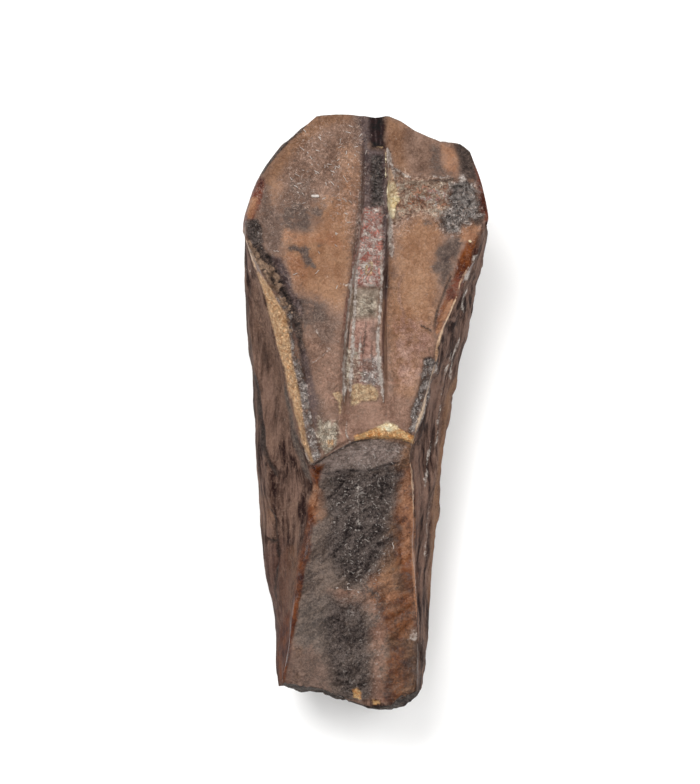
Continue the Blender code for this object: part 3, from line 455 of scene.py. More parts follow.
# In the order that they are laid on. Colours are everyday 0 to 255 values, as seen in the stage's light.
STAINS = {
    "honey": Stain((126, 90, 68), (158, 119, 92), "smooth", 0.9, 0.4, 0.12, 0.2),
    "umber": Stain((116, 89, 75), (152, 121, 104), "smooth", 0.9, 0.4, 0.12, 0.3),
    "tan": Stain((148, 106, 79), (174, 133, 104), "smooth", 1.0, 0.4, 0.12, 0.15),
    "rose": Stain((140, 104, 88), (178, 140, 120), "smooth", 1.2, 0.4, 0.12, 0.3),
    "blush": Stain((164, 122, 108), (204, 166, 150), "smooth", 1.2, 0.4, 0.12, 0.3),
    # This lays brown stains, and also the painted shade under the ledge.
    "earth_and_shade": Stain((84, 58, 42), (144, 106, 80), "fibres", 0.8, 0.35, 0.3),
    "ash": Stain((82, 73, 68), (130, 114, 104), "fibres", 0.8, 0.35, 0.3),
    "gloss": Stain((94, 81, 75), (148, 130, 122), "smoky", 0.8, 0.3, 0.3),
    "night": Stain((48, 35, 31), (142, 113, 100), "streaks", 1.0, 0.85, 0.4),
    "haze": Stain((98, 80, 72), (136, 112, 100), "smoky", 1.6, 0.45, 0.2, 0.2),
    "grey": Stain((72, 60, 56), (114, 97, 88), "smoky", 1.9, 0.45, 0.2, 0.1),
    "amber": Stain((58, 28, 12), (124, 70, 38), "smooth", 0.8, 0.2, 0.05),
    "rust": Stain((56, 26, 22), (122, 68, 52), "smooth", 1.6, 0.3),
    "ember": Stain((144, 96, 68), (178, 132, 102), "smooth", 1.2, 0.35, 0.12, 0.1),
    "cocoa": Stain((68, 46, 42), (106, 78, 69), "smooth", 0.8, 0.6),
    # These two lay dark stains, and also some painted shadows and shade.
    "soot_and_shade": Stain((36, 28, 27), (92, 78, 72), "smoky", 1.2, 0.35, 0.5, 0.2),
    "jet_and_shadow": Stain((16, 5, 3), (48, 22, 13), "smoky", 0.9, 0.75, 0.3),
    "basalt": Stain((38, 30, 29), (120, 107, 101), "fibres", 0.8, 0.35, 0.5, 0.4),
    "plum": Stain((56, 44, 45), (102, 85, 82), "smooth", 0.8, 0.35, 0.1),
    "pits": Stain((36, 28, 29), (122, 112, 108), "crumbs", 1.0, 0.3, 0.6, 0.8),
    # In the crust, slag, flesh and lichen stains the pale crests are partly painted highlights.
    "crust": Stain((184, 126, 97), (255, 236, 212), "crust", 1.6, 0.3, 0.6, 1.3),
    "slag": Stain((48, 38, 36), (255, 242, 234), "crust", 1.2, 0.3, 0.6, 1.7),
    "flesh": Stain((198, 116, 100), (255, 242, 230), "crust", 0.9, 0.3, 0.6, 1.3),
    "olive": Stain((124, 108, 94), (164, 148, 132), "smoky", 0.8, 0.35, 0.2, 0.1),
    "lichen": Stain((168, 148, 128), (254, 240, 218), "crust", 1.4, 0.45, 0.5, 1.2),
    "buff": Stain((184, 146, 110), (226, 198, 162), "crumbs", 1.4, 0.5, 0.5, 0.5),
    "pearl": Stain((92, 80, 74), (176, 162, 152), "smooth", 0.8, 0.35, 0.4, 0.4),
    "gold": Stain((112, 88, 72), (196, 164, 138), "smooth", 0.8, 0.4, 0.4, 0.6),
    "ochre": Stain((228, 148, 82), (255, 216, 160), "crumbs", 1.2, 0.5, 0.6, 0.9),
    "pale": Stain((168, 152, 142), (220, 208, 198), "smoky", 1.6, 0.4, 0.4, 0.4),
    "yellow": Stain((240, 208, 150), (255, 246, 212), "smoky", 1.2, 0.5, 0.3, 0.1),
    "cream": Stain((184, 144, 112), (230, 199, 168), "smooth", 1.0, 0.35),
}
DETAILS = ("threads", "crystals")

# Colours that lie under the stains: (dark, light).
ENAMEL = ((118, 91, 77), (150, 120, 104))
DENTINE = ((80, 68, 62), (130, 112, 101))
WALL = ((48, 34, 29), (132, 104, 90))
# A pale colour mixed into the walls' grain: a painted sheen.
WALL_PAINTED_SHEEN = (152, 130, 116)
STRIPE_TAN = ((196, 142, 95), (248, 208, 164))
BREAK = ((52, 46, 44), (108, 98, 92))
WEAR = ((96, 76, 66), (146, 118, 100))
VEIN = (196, 164, 145)
# Pale curly threads: partly their own pale colour, partly painted highlights on fine curls.
THREAD_AND_HIGHLIGHT = (204, 184, 172)
PIT = (52, 38, 32)
# White crystal flecks, painted bright so that they also stand for glints.
CRYSTAL_AND_GLINT = (196, 186, 178)
# How much the stage's light brightens a colour, and the faint shine that it adds to all of them.
STAGE_LIGHT = 1.56
SHEEN = 0.012
SPECULAR = 0.15
# The least roughness of the walls.
WALL_ROUGHNESS = 0.8

# ---- The skin: the solid's surface in small triangles, finer on the front

# (longest edge in millimetres, only the front, sharpest bend that is softened in degrees)
REFINING = [
    (1.6, False, 0), (0.8, False, 30), (0.4, False, 26), (0.3, False, 22), (0.19, True, 22),
    (0.14, True, 20),
]
# The front is where a normal points up by at least this much.
FRONT_FACING = 0.6
MERGE_DISTANCE = 0.002 * MM
# An edge between two triangles is turned only where they bend by less than this, in degrees.
TURNED_EDGE_BEND = 12


def deselect_all():
    bpy.ops.object.select_all(action="DESELECT")


def make_active(piece):
    deselect_all()
    piece.select_set(True)
    bpy.context.view_layer.objects.active = piece


def closed_copy(name, source):
    """A copy of a CAD node's loose triangles, merged into one closed mesh."""
    piece = source.copy()
    piece.data = source.data.copy()
    piece.name = name
    piece.data.name = name
    piece.parent = None
    for key in list(piece.keys()):
        del piece[key]
    bpy.context.scene.collection.objects.link(piece)
    make_active(piece)
    bpy.ops.object.mode_set(mode="EDIT")
    bpy.ops.mesh.select_all(action="SELECT")
    bpy.ops.mesh.remove_doubles(threshold=MERGE_DISTANCE)
    bpy.ops.object.mode_set(mode="OBJECT")
    return piece


def read_vectors(mesh, kind):
    """Every vertex's place or normal, as rows of three numbers."""
    flat = np.empty(len(mesh.vertices) * 3, np.float32)
    if kind == "place":
        mesh.vertices.foreach_get("co", flat)
    else:
        mesh.vertex_normals.foreach_get("vector", flat)
    return flat.reshape(-1, 3).astype(float)


def long_edges(mesh, longest, front_only):
    """Which edges are longer than the limit, on the front or everywhere."""
    places, normals = read_vectors(mesh, "place"), read_vectors(mesh, "normal")
    ends = np.empty(len(mesh.edges) * 2, np.int32)
    mesh.edges.foreach_get("vertices", ends)
    ends = ends.reshape(-1, 2)
    chosen = np.linalg.norm(places[ends[:, 0]] - places[ends[:, 1]], axis=1) > longest * MM
    if front_only:
        chosen &= (normals[ends, 2] > FRONT_FACING).any(axis=1)
    return chosen


def split_edges(piece, longest, front_only):
    """Halves the long edges and tidies the triangles around them."""
    bpy.ops.object.mode_set(mode="EDIT")
    bpy.ops.mesh.select_mode(type="EDGE")
    bpy.ops.mesh.select_all(action="DESELECT")
    bpy.ops.object.mode_set(mode="OBJECT")
    piece.data.edges.foreach_set("select", long_edges(piece.data, longest, front_only))
    bpy.ops.object.mode_set(mode="EDIT")
    bpy.ops.mesh.subdivide(number_cuts=1, ngon=False)
    bpy.ops.mesh.select_all(action="SELECT")
    bpy.ops.mesh.quads_convert_to_tris(quad_method="SHORTEST_DIAGONAL")
    bpy.ops.mesh.beautify_fill(angle_limit=math.radians(TURNED_EDGE_BEND))
    bpy.ops.object.mode_set(mode="OBJECT")


def soften(sharpest):
    """Smooths everything but the edges that bend by more than the limit, in degrees."""
    bpy.ops.object.mode_set(mode="EDIT")
    bpy.ops.mesh.select_mode(type="EDGE")
    bpy.ops.mesh.select_all(action="DESELECT")
    bpy.ops.mesh.edges_select_sharp(sharpness=math.radians(sharpest))
    bpy.ops.mesh.select_mode(type="VERT")
    bpy.ops.mesh.select_all(action="INVERT")
    bpy.ops.mesh.vertices_smooth(factor=0.5, repeat=2)
    bpy.ops.object.mode_set(mode="OBJECT")


def tooth_skin():
    """A closed, finely divided skin that keeps the solid's own edges."""
    skin = closed_copy("fossil_tooth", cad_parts["tooth"])
    for longest, front_only, sharpest in REFINING:
        split_edges(skin, longest, front_only)
        if sharpest:
            soften(sharpest)
    return skin


# ---- Measuring the plan

# A distance in plan units that counts as well outside, or well inside.
FAR = 60.0


def to_plan(places):
    """Plan places of points given in metres."""
    across = PLAN_MIDDLE[0] + places[:, 0] / UNIT
    down = PLAN_MIDDLE[1] - places[:, 1] / UNIT
    return np.column_stack([across, down])


def from_plan(across, down):
    """The x and y, in metres, of a plan place."""
    return (across - PLAN_MIDDLE[0]) * UNIT, (PLAN_MIDDLE[1] - down) * UNIT


def segment_distance(points, start, end):
    """Distance of each point from one straight stretch."""
    run = end - start
    share = np.clip((points - start) @ run / max(run @ run, 1e-9), 0, 1)
    return np.hypot(*(points - start - share[:, None] * run).T)


def path_distance(points, path):
    corners = np.array(path, float)
    return np.min([segment_distance(points, a, b) for a, b in zip(corners, corners[1:])], axis=0)


def inside(points, outline):
    """Whether each point is inside a closed outline."""
    corners = np.array(outline, float)
    found = np.zeros(len(points), bool)
    x, y = points.T
    for a, b in zip(corners, np.roll(corners, -1, axis=0)):
        if a[1] == b[1]:
            continue
        crosses = (a[1] > y) != (b[1] > y)
        found ^= crosses & (x < a[0] + (y - a[1]) * (b[0] - a[0]) / (b[1] - a[1]))
    return found


def depth_inside(points, outline):
    """How far each point is inside a closed outline, in plan units, below zero outside it."""
    corners = np.array(outline, float)
    near = np.all((points > corners.min(0) - FAR) & (points < corners.max(0) + FAR), axis=1)
    result = np.full(len(points), -FAR)
    close = points[near]
    away = path_distance(close, list(outline) + [outline[0]])
    result[near] = np.where(inside(close, outline), away, -away)
    return result


def ease(value):
    """A smooth step from 0 to 1."""
    value = np.clip(value, 0, 1)
    return value * value * (3 - 2 * value)


def cell_value(cells, seed):
    """A repeatable value from 0 to 1 for each whole-number cell."""
    mixed = cells[0] * 73856093 ^ cells[1] * 19349663 ^ cells[2] * 83492791 ^ seed * 40503
    mixed = ((mixed ^ (mixed >> 13)) * 1274126177) & 0x7FFFFFFF
    mixed = ((mixed ^ (mixed >> 15)) * 1103515245) & 0x7FFFFFFF
    return (mixed >> 7) % 65536 / 65535.0


def smooth_noise(points, seed):
    """Smooth noise from -1 to 1 over points with unit cells."""
    cell = np.floor(points).astype(np.int64)
    share = ease(points - cell)
    total = np.zeros(len(points))
    for corner in range(8):
        offset = np.array([corner & 1, corner >> 1 & 1, corner >> 2 & 1])
        part = np.prod(np.where(offset, share, 1 - share), axis=1)
        total += part * cell_value((cell + offset).T, seed)
    return total * 2 - 1


def rough(places, size, seed, octaves=3, stretch=(1, 1, 1)):
    """Layered noise from about -1 to 1. Its largest bumps are `size` millimetres, times the stretch."""
    points = places / MM / size / np.array(stretch)
    total = np.zeros(len(points))
    for octave in range(octaves):
        total += smooth_noise(points * 2**octave, seed + octave) / 2**octave
    return total * 0.6


# ---- Regions and stains as fields on the skin

# The worn facet behind the crown's edge: where it starts, in millimetres, and the way it faces.
FACET_START = 4
FACET_NORMAL = (0, 0.81, -0.58)
# The broken end lies below this y, in millimetres.
END_START = -14
# Under the crown's thin edge, relief fades in from the first of these depths over the second.
THIN_EDGE, THICKENING = 0.15, 0.9
NUB_WOBBLE = 1.6
# A streak's depth is FULL_STREAK on its line, falls by STREAK_SPAN over its width, and is measured within
# STREAK_REACH of its path.
FULL_STREAK, STREAK_SPAN, STREAK_REACH = 1.4, 2.4, 8


def facing(amount, least, sharpness):
    """Above zero where a surface faces a way by more than the least amount, from -1 to 1."""
    return (amount - least) * sharpness


def read_profile(place, profile):
    """The value at a place on a profile, which lists (place, value), all in millimetres."""
    return np.interp(place, *np.array(profile).T)


class Plan:
    """The skin's vertices, with the regions that they lie in. Fields are above zero inside."""

    def __init__(self, mesh):
        self.places = read_vectors(mesh, "place")
        self.normals = read_vectors(mesh, "normal")
        self.points = to_plan(self.places)
        y, z = self.places[:, 1] / MM, self.places[:, 2] / MM
        self.up = self.normals[:, 2]
        self.crown = self.on_front(CROWN, FACE_HEIGHT, y, z)
        self.panel = self.on_front(PANEL, PANEL_HEIGHT, y, z)
        self.stripe = np.minimum(depth_inside(self.points, STRIPE) / 1.5, facing(self.up, -0.1, FAR))
        self.ridge = np.minimum(depth_inside(self.points, RIDGE), self.crown)
        slope = self.normals @ np.array(FACET_NORMAL)
        self.wear = np.where(y > FACET_START, facing(slope, 0.8, 12), -FAR)
        self.broken = np.where(y < END_START, facing(-self.normals[:, 1], 0.6, 8), -FAR)
        self.seen = np.minimum(np.clip(facing(self.up, -0.02, 12), -2, 2), -self.broken)
        below = read_profile(y, FACE_HEIGHT) - z
        self.thick = np.where(self.up > 0, 1.0, ease((below - THIN_EDGE) / THICKENING))

    def on_front(self, outline, heights, y, z):
        """Inside an outline, and not down on the walls below it."""
        above = (z - read_profile(y, heights) + FRONT_DEPTH) / UNIT_MM
        within = np.minimum(depth_inside(self.points, outline), above)
        return np.minimum(within, facing(self.up, -0.2, FAR))


def nub_depth(plan, radius, spacing, path):
    """1 on the nubs of one row, 0 at their feet and below zero between them."""
    corners = np.array(path, float)
    stops = np.concatenate([[0], np.cumsum(np.hypot(*np.diff(corners, axis=0).T))])
    count = int(stops[-1] / spacing)
    random = np.random.default_rng(count)
    along = (np.arange(count) + 0.5 + random.uniform(-0.3, 0.3, count)) * spacing
    centres = np.column_stack([np.interp(along, stops, corners[:, axis]) for axis in (0, 1)])
    centres += random.normal(0, radius * 0.3, centres.shape)
    wobble = [rough(plan.places, 0.3, seed, octaves=2) for seed in (14, 15)]
    points = plan.points + NUB_WOBBLE * np.column_stack(wobble)
    depth = np.full(len(points), -1.0)
    for centre, share in zip(centres, random.uniform(0.7, 1.25, count)):
        depth = np.maximum(depth, 1 - np.hypot(*(points - centre).T) / (radius * share))
    return depth


def streak_depth(points, path, first, last):
    """How deep each point is in a streak with pointed ends: most on its line, and -1 at its width."""
    corners = np.array(path, float)
    lengths = np.hypot(*np.diff(corners, axis=0).T)
    starts = np.concatenate([[0], np.cumsum(lengths)]) / lengths.sum()
    least, most = corners.min(0) - STREAK_REACH, corners.max(0) + STREAK_REACH
    near = np.all((points > least) & (points < most), axis=1)
    close, best, along = points[near], np.full(near.sum(), FAR), np.zeros(near.sum())
    for start, end, low, high in zip(corners, corners[1:], starts, starts[1:]):
        run = end - start
        share = np.clip((close - start) @ run / (run @ run), 0, 1)
        away = np.hypot(*(close - start - share[:, None] * run).T)
        along = np.where(away < best, low + share * (high - low), along)
        best = np.minimum(best, away)
    pointed = ease(np.minimum(along, 1 - along) / 0.1) * 0.75 + 0.25
    width = (first + (last - first) * along) * pointed
    result = np.full(len(points), -2.0)
    result[near] = FULL_STREAK - STREAK_SPAN * best / width
    return result


def stain_field(plan, stain):
    """One stain's field: 1 well inside its patches and streaks, and -1 or less well outside them."""
    field = np.full(len(plan.points), -2.0)
    for name, soft, strength, outline in PATCHES:
        if name == stain:
            # A patch of full strength goes one further, so that its ragged edge leaves the inside alone.
            most = 2 * strength - 1 + (strength == 1)
            field = np.maximum(field, np.minimum(depth_inside(plan.points, outline) / soft, most))
    for name, first, last, strength, path in STREAKS:
        if name == stain:
            depth = streak_depth(plan.points, path, first, last)
            field = np.maximum(field, np.minimum(depth, 2 * strength - 1))
    for name, _, radius, spacing, path in NUB_ROWS:
        if name == stain:
            # The stain covers all of a nub but its foot.
            field = np.maximum(field, 3.5 * nub_depth(plan, radius, spacing, path) - 1)
    return np.minimum(field, plan.seen)


def cover(field):
    """How much of a stain lies where its field has this value, from 0 to 1."""
    return ease(field * 0.5 + 0.5)


def store(mesh, name, values):
    field = mesh.attributes.new(name, "FLOAT", "POINT")
    field.data.foreach_set("value", values.astype(np.float32))


def store_fields(mesh, plan):
    """Stores every region and stain, and how gritty and how domed the surface is under them."""
    for name in ("crown", "panel", "stripe", "wear", "broken"):
        store(mesh, name, np.clip(getattr(plan, name), -8, 8))
    grit = 0.25 - 0.1 * weight(plan.crown, 1)
    domes = 0.7 * weight(plan.stripe, 1)
    for name, stain in STAINS.items():
        field = stain_field(plan, name)
        store(mesh, name, field)
        share = cover(field)
        grit += share * (stain.grit - grit)
        domes += share * (stain.domes - domes)
    for name in DETAILS:
        store(mesh, name, cover(stain_field(plan, name)))
    store(mesh, "knobs", ease(knobs(plan) / 0.45))
    store(mesh, "grit", grit)
    store(mesh, "domes", domes)


# ---- Relief

# Rough regions of the front, and the crack that bounds the upper right plate.
GNARLY = [
    (396, 170), (408, 181), (428, 181), (438, 181), (452, 182), (466, 183), (476, 191), (484, 200),
    (486, 222), (472, 226), (458, 234), (444, 228), (430, 214), (412, 210), (400, 216), (392, 224),
    (388, 200), (388, 178),
]
PITTED_RIDGE = [(366, 155), (386, 155), (387, 290), (353, 290), (357, 240), (362, 205)]
CRUST = [
    (247, 222), (258, 220), (266, 250), (280, 262), (288, 282), (296, 300), (296, 330), (301, 366),
    (308, 400), (314, 440), (320, 458), (311, 463), (303, 420), (296, 384), (290, 345), (285, 314),
    (268, 285), (256, 268), (250, 250),
]
FRACTURE = [
    (390, 166), (396, 170), (402, 176), (409, 181), (416, 182), (428, 181), (438, 181), (452, 180.5),
    (453, 185), (460, 185.5), (466.5, 182.5), (469.5, 188), (477, 192), (486, 196),
]
UPPER_PLATE = FRACTURE + [(480, 150), (458, 138), (430, 128), (400, 126), (390, 140)]
# How far the root's fibres rise to the right, in radians.
SLANT = 0.6
# The scales along the lower right margin: their path, length and width, in plan units.
SCALE_LENGTH, SCALES_WIDE = 5.4, 7
SCALY_RIM = [(435, 361), (431, 380), (427, 394), (422, 410), (418, 424), (414, 436)]

# (depth in millimetres, half width in plan units, path), below zero for a raised line.
GROOVES = [
    (0.05, 1.8, [(354, 284), (351.5, 310), (349, 330), (347.3, 350), (347, 372), (347, 396)]),
    (-0.05, 1.8, [(352.5, 284), (349.5, 300), (347.5, 322), (345, 345), (344.2, 368), (344.2, 400)]),
    (-0.05, 2.4, [(357, 262), (355.5, 290), (354, 320), (352, 352), (350.5, 376), (350, 396)]),
    (-0.06, 2.4, [(381, 258), (381, 285), (379.5, 305), (376.5, 325), (377, 345), (380.5, 375),
        (383.5, 400)]),
    (0.1, 2.0, [(396, 172), (402, 178), (408, 183), (415, 184)]),
    (0.16, 2.4, [(428, 183), (437, 183), (451, 182.5)]),
    (0.16, 2.4, [(452, 186.5), (460, 187.5), (466.5, 185), (469.5, 190), (476, 194)]),
    (0.07, 3.0, [(361, 190), (358, 222), (354.5, 252), (350, 284), (346, 312), (342.6, 340), (341.4, 370),
        (341.6, 402)]),
    (-0.14, 9.0, [(395, 240), (394, 290), (391, 320), (390, 345), (391, 370), (393, 404)]),
    (0.04, 1.5, [(409, 256), (410, 267), (405.5, 274), (399.5, 283), (399, 294), (402, 301), (406.5, 315),
        (413.5, 321), (420, 325.5), (433, 331)]),
    (0.1, 3.5, [(355, 472), (368, 474), (384, 471)]),
    (0.12, 2.5, [(254, 372), (258, 392), (261, 420), (265, 445), (272, 462), (281, 476)]),
    (0.16, 2.5, [(271, 509), (276, 520), (277, 538), (280, 552), (275, 570)]),
    (0.25, 4.0, [(268, 540), (279, 541)]),
    (0.07, 1.8, PANEL_LEFT[2:]),
    (-0.04, 2.0, [(358, 484), (358, 505), (359.5, 530), (361, 550)]),
]


def weight(field, soft):
    """0 outside a region and 1 inside it, changing within `soft` plan units of its edge."""
    return cover(field / soft)


def slanted(places):
    """Places turned so that their first axis rises to the right."""
    across, along = math.cos(SLANT), math.sin(SLANT)
    turn = np.array([[across, -along, 0], [along, across, 0], [0, 0, 1]])
    return places @ turn


def knobs(plan):
    """Rounded lumps with sharp creases between them, from 0 to about 0.8."""
    return np.abs(rough(plan.places, 0.34, seed=4, stretch=(1.3, 1, 1)))


def front_relief(plan):
    """Unevenness of the enamel face and of the root's front, in millimetres upwards."""
    places = plan.places
    crown, panel = weight(plan.crown, 2.5), weight(plan.panel, 3)
    ridge = weight(plan.ridge, 2)
    gnarly = weight(depth_inside(plan.points, GNARLY), 4)
    pitted = weight(depth_inside(plan.points, PITTED_RIDGE), 3)
    crust = weight(depth_inside(plan.points, CRUST), 2)
    rise = crown * (0.05 * rough(places, 2.4, seed=1) + 0.05 * rough(places, 0.6, seed=2) * (1 - ridge))
    rise += gnarly * (0.45 * rough(places, 0.7, seed=3) + 0.6 * knobs(plan) - 0.26)
    rise += fractured_plate(plan)
    rise += pitted * (0.18 * rough(places, 0.38, seed=5) + 0.3 * knobs(plan) - 0.08)
    rise += crust * (0.5 * knobs(plan) - 0.14)
    for _, height, radius, spacing, path in NUB_ROWS:
        rise += height * np.sqrt(np.maximum(nub_depth(plan, radius, spacing, path), 0))
    rise += weight(plan.stripe, 1.5) * 0.2 * rough(places, 0.3, seed=7, octaves=2)
    ripples = rough(slanted(places), 0.5, seed=9, stretch=(3.5, 1, 1))
    rise += panel * (0.12 * rough(places, 1.4, seed=8) + 0.28 * ripples)
    return rise


def fractured_plate(plan):
    """The piece of enamel above the break stands proud of it, most of all at its lower lip."""
    wander = [rough(plan.places, 0.5, seed, octaves=2) for seed in (12, 13)]
    points = plan.points + 3.0 * np.column_stack(wander)
    away = path_distance(points, FRACTURE)
    above = weight(depth_inside(points, UPPER_PLATE), 0.8)
    return above * (0.05 + 0.16 * np.exp(-away / 7)) * weight(plan.crown, 3)


def scaly_rim(plan):
    """A row of small scales along the lower right margin."""
    away = path_distance(plan.points, SCALY_RIM)
    along = plan.points[:, 1] + 0.45 * plan.points[:, 0]
    scales = np.abs(np.sin(along * math.pi / SCALE_LENGTH + 3.0 * rough(plan.places, 0.7, seed=11)))
    return ease(1 - away / SCALES_WIDE) * (0.16 * scales + 0.2 * knobs(plan) - 0.08)


def wall_relief(plan):
    """Long wavy ridges along the walls and the back, in millimetres outwards."""
    places = plan.places.copy()
    places[:, 0] += 0.6 * MM * rough(places, 2.4, seed=21, octaves=2)
    front = np.maximum(weight(plan.crown, 2), weight(plan.panel, 2))
    lift = ease((places[:, 2] / MM - 0.25) / 0.9)
    right = 0.5 + 0.5 * ease(places[:, 0] / MM)
    rise = 0.22 * right * rough(places, 0.7, seed=22, stretch=(1, 4, 1.6))
    rise += 0.12 * right * rough(places, 0.36, seed=23, stretch=(1, 3, 1.3))
    rise += 0.2 * (1 - right) * ease((-0.5 - places[:, 1] / MM) / 2)
    return rise * (1 - front) * lift


# How far the broken end stands out, in millimetres, across the tooth: (x, out).
END_PROFILE = [
    (-4.2, -0.22), (-3.2, -0.16), (-2.4, -0.36), (-1.2, -0.14), (-0.3, -0.03), (0.4, 0.05), (1.1, 0.2),
    (1.7, 0.13), (2.1, -0.13), (2.7, -0.1),
]


def end_relief(plan):
    """Grain of the broken root end and soft scoops on the worn facet."""
    grain = 0.16 * rough(plan.places, 0.9, seed=31) + 0.05 * rough(plan.places, 0.3, seed=32)
    grain += read_profile(plan.places[:, 0] / MM, END_PROFILE)
    return ease(plan.broken) * grain + ease(plan.wear) * 0.05 * rough(plan.places, 1.2, seed=33)


def groove_relief(plan):
    """Grooves and raised lines, in millimetres outwards."""
    rise = np.zeros(len(plan.points))
    for depth, half_width, path in GROOVES:
        share = (streak_depth(plan.points, path, half_width, half_width) + 1) / STREAK_SPAN
        rise -= depth * ease(share)
    return rise * ease(plan.up * 3)


def add_relief(skin, plan):
    """Moves the front's vertices upwards and the rest outwards, and keeps all of them above the floor."""
    facing_up = ease(plan.up * 2)
    front = np.maximum(weight(plan.crown, 2), weight(plan.panel, 2)) * facing_up
    grooves = groove_relief(plan)
    outwards = (wall_relief(plan) + end_relief(plan) + grooves * (1 - front)) * plan.thick
    upwards = front_relief(plan) * facing_up + scaly_rim(plan) * front + grooves * front
    rim = np.exp(-(plan.crown / 2) ** 2) * (plan.up > -0.3)
    outwards += 0.08 * rim * rough(plan.places, 0.6, seed=24)
    lifted = upwards[:, None] * np.array([0, 0, 1.0])
    moved = plan.places + MM * (outwards[:, None] * plan.normals + lifted)
    moved[:, 2] = np.maximum(moved[:, 2], 0)
    skin.data.vertices.foreach_set("co", moved.astype(np.float32).ravel())
    skin.data.update()


# ---- Materials


def linear(value):
    """The linear strength of an everyday 0 to 255 value."""
    value /= 255
    return value / 12.92 if value <= 0.04045 else ((value + 0.055) / 1.055) ** 2.4


def paint(colour):
    """A shader colour from everyday 0 to 255 values, as seen in the stage's light with its sheen."""
    return (*[max(linear(value) - SHEEN, 0.003) / STAGE_LIGHT for value in colour], 1.0)


class Wiring:
    """Adds nodes to a tree and joins them, so that a finish reads as a list of steps. Called w below."""

    def __init__(self, tree):
        self.tree = tree

    def feed(self, socket, value):
        if isinstance(value, bpy.types.NodeSocket):
            self.tree.links.new(value, socket)
        else:
            socket.default_value = value

    def node(self, kind, inputs=None, **settings):
        made = self.tree.nodes.new(kind)
        for name, value in settings.items():
            setattr(made, name, value)
        for name, value in (inputs or {}).items():
            self.feed(made.inputs[name], value)
        return made

    def mix(self, share, first, second):
        """A mix of two colours, by way of the colour sockets of a Mix node."""
        return self.node("ShaderNodeMix", {0: share, 6: first, 7: second}, data_type="RGBA").outputs[2]

    def blend(self, share, first, second):
        """A mix of two plain values."""
        return self.node("ShaderNodeMix", {0: share, 2: first, 3: second}).outputs[0]

    def maths(self, operation, first, second=0.0, third=0.0):
        made = self.node("ShaderNodeMath", {0: first, 1: second, 2: third}, operation=operation)
        return made.outputs[0]

    def spread(self, value, low, high, bottom=0.0, top=1.0):
        """Turns low..high into bottom..top with soft ends."""
        made = self.node("ShaderNodeMapRange", {0: value, 1: low, 2: high, 3: bottom, 4: top},
                         interpolation_type="SMOOTHSTEP")
        return made.outputs[0]

    def noise(self, place, size, detail=3.0, roughness=0.55, distortion=0.0):
        made = self.node("ShaderNodeTexNoise", {
            "Vector": place, "Scale": 1 / size, "Detail": detail, "Roughness": roughness,
            "Distortion": distortion,
        })
        return made.outputs

    def dots(self, place, size, radius, share):
        """Dots scattered over the plan, bright and dim, in the given share of a grid's cells."""
        cell = self.node("ShaderNodeTexVoronoi", {"Vector": place, "Scale": 1 / size},
                         voronoi_dimensions="2D").outputs
        dot = self.spread(cell["Distance"], radius * 0.3 / size, radius / size, 1.0, 0.0)
        return self.maths("MULTIPLY", dot, self.spread(cell["Color"], 0.2, 0.2 + share, 1.0, 0.0))

    def stretched(self, place, amounts):
        return self.node("ShaderNodeVectorMath", {0: place, 1: amounts}, operation="MULTIPLY").outputs[0]

    def shifted(self, place, wander, amount):
        """A place moved by a colour noise, which is centred first."""
        centred = self.node("ShaderNodeVectorMath", {0: wander, 1: (0.5, 0.5, 0.5)},
                            operation="SUBTRACT").outputs[0]
        made = self.node("ShaderNodeVectorMath", {0: centred, 1: (amount, amount, amount), 2: place},
                         operation="MULTIPLY_ADD")
        return made.outputs[0]

    def scaled(self, colour, factor):
        made = self.node("ShaderNodeVectorMath", {0: colour, "Scale": factor}, operation="SCALE")
        return made.outputs[0]

    def attribute(self, name):
        return self.node("ShaderNodeAttribute", attribute_name=name).outputs["Fac"]

    def group(self, tree, inputs):
        made = self.tree.nodes.new("ShaderNodeGroup")
        made.node_tree = tree
        for name, value in inputs.items():
            self.feed(made.inputs[name], value)
        return made.outputs

    def place(self):
        """Object coordinates in millimetres."""
        return self.stretched(self.node("ShaderNodeTexCoord").outputs["Object"], (1000, 1000, 1000))


def new_group(name, inputs, outputs):
    """An empty node group with named sockets: (name, kind) for each."""
    tree = bpy.data.node_groups.new(name, "ShaderNodeTree")
    for title, kind in inputs:
        tree.interface.new_socket(title, in_out="INPUT", socket_type="NodeSocket" + kind)
    for title, kind in outputs:
        tree.interface.new_socket(title, in_out="OUTPUT", socket_type="NodeSocket" + kind)
    wiring = Wiring(tree)
    return wiring, tree.nodes.new("NodeGroupInput").outputs, tree.nodes.new("NodeGroupOutput").inputs


def slanting_fibres(w, place):
    """Noise drawn out into wandering fibres that rise to the right."""
    wander = w.noise(place, 3.0, detail=1.0)["Color"]
    turned = w.node("ShaderNodeVectorRotate", {"Vector": w.shifted(place, wander, 2.2), "Angle": -SLANT},
                    rotation_type="Z_AXIS").outputs[0]
    return w.noise(w.stretched(turned, (0.3, 1.0, 1.0)), 0.4, detail=4.0, roughness=0.55)[0]


def worms(w, place):
    """How far a place is from the nearest wandering crest, from 0 on the crest itself."""
    worm = w.noise(place, 0.3, detail=3.0, roughness=0.6, distortion=1.0)[0]
    return w.maths("ABSOLUTE", w.maths("SUBTRACT", worm, 0.5))


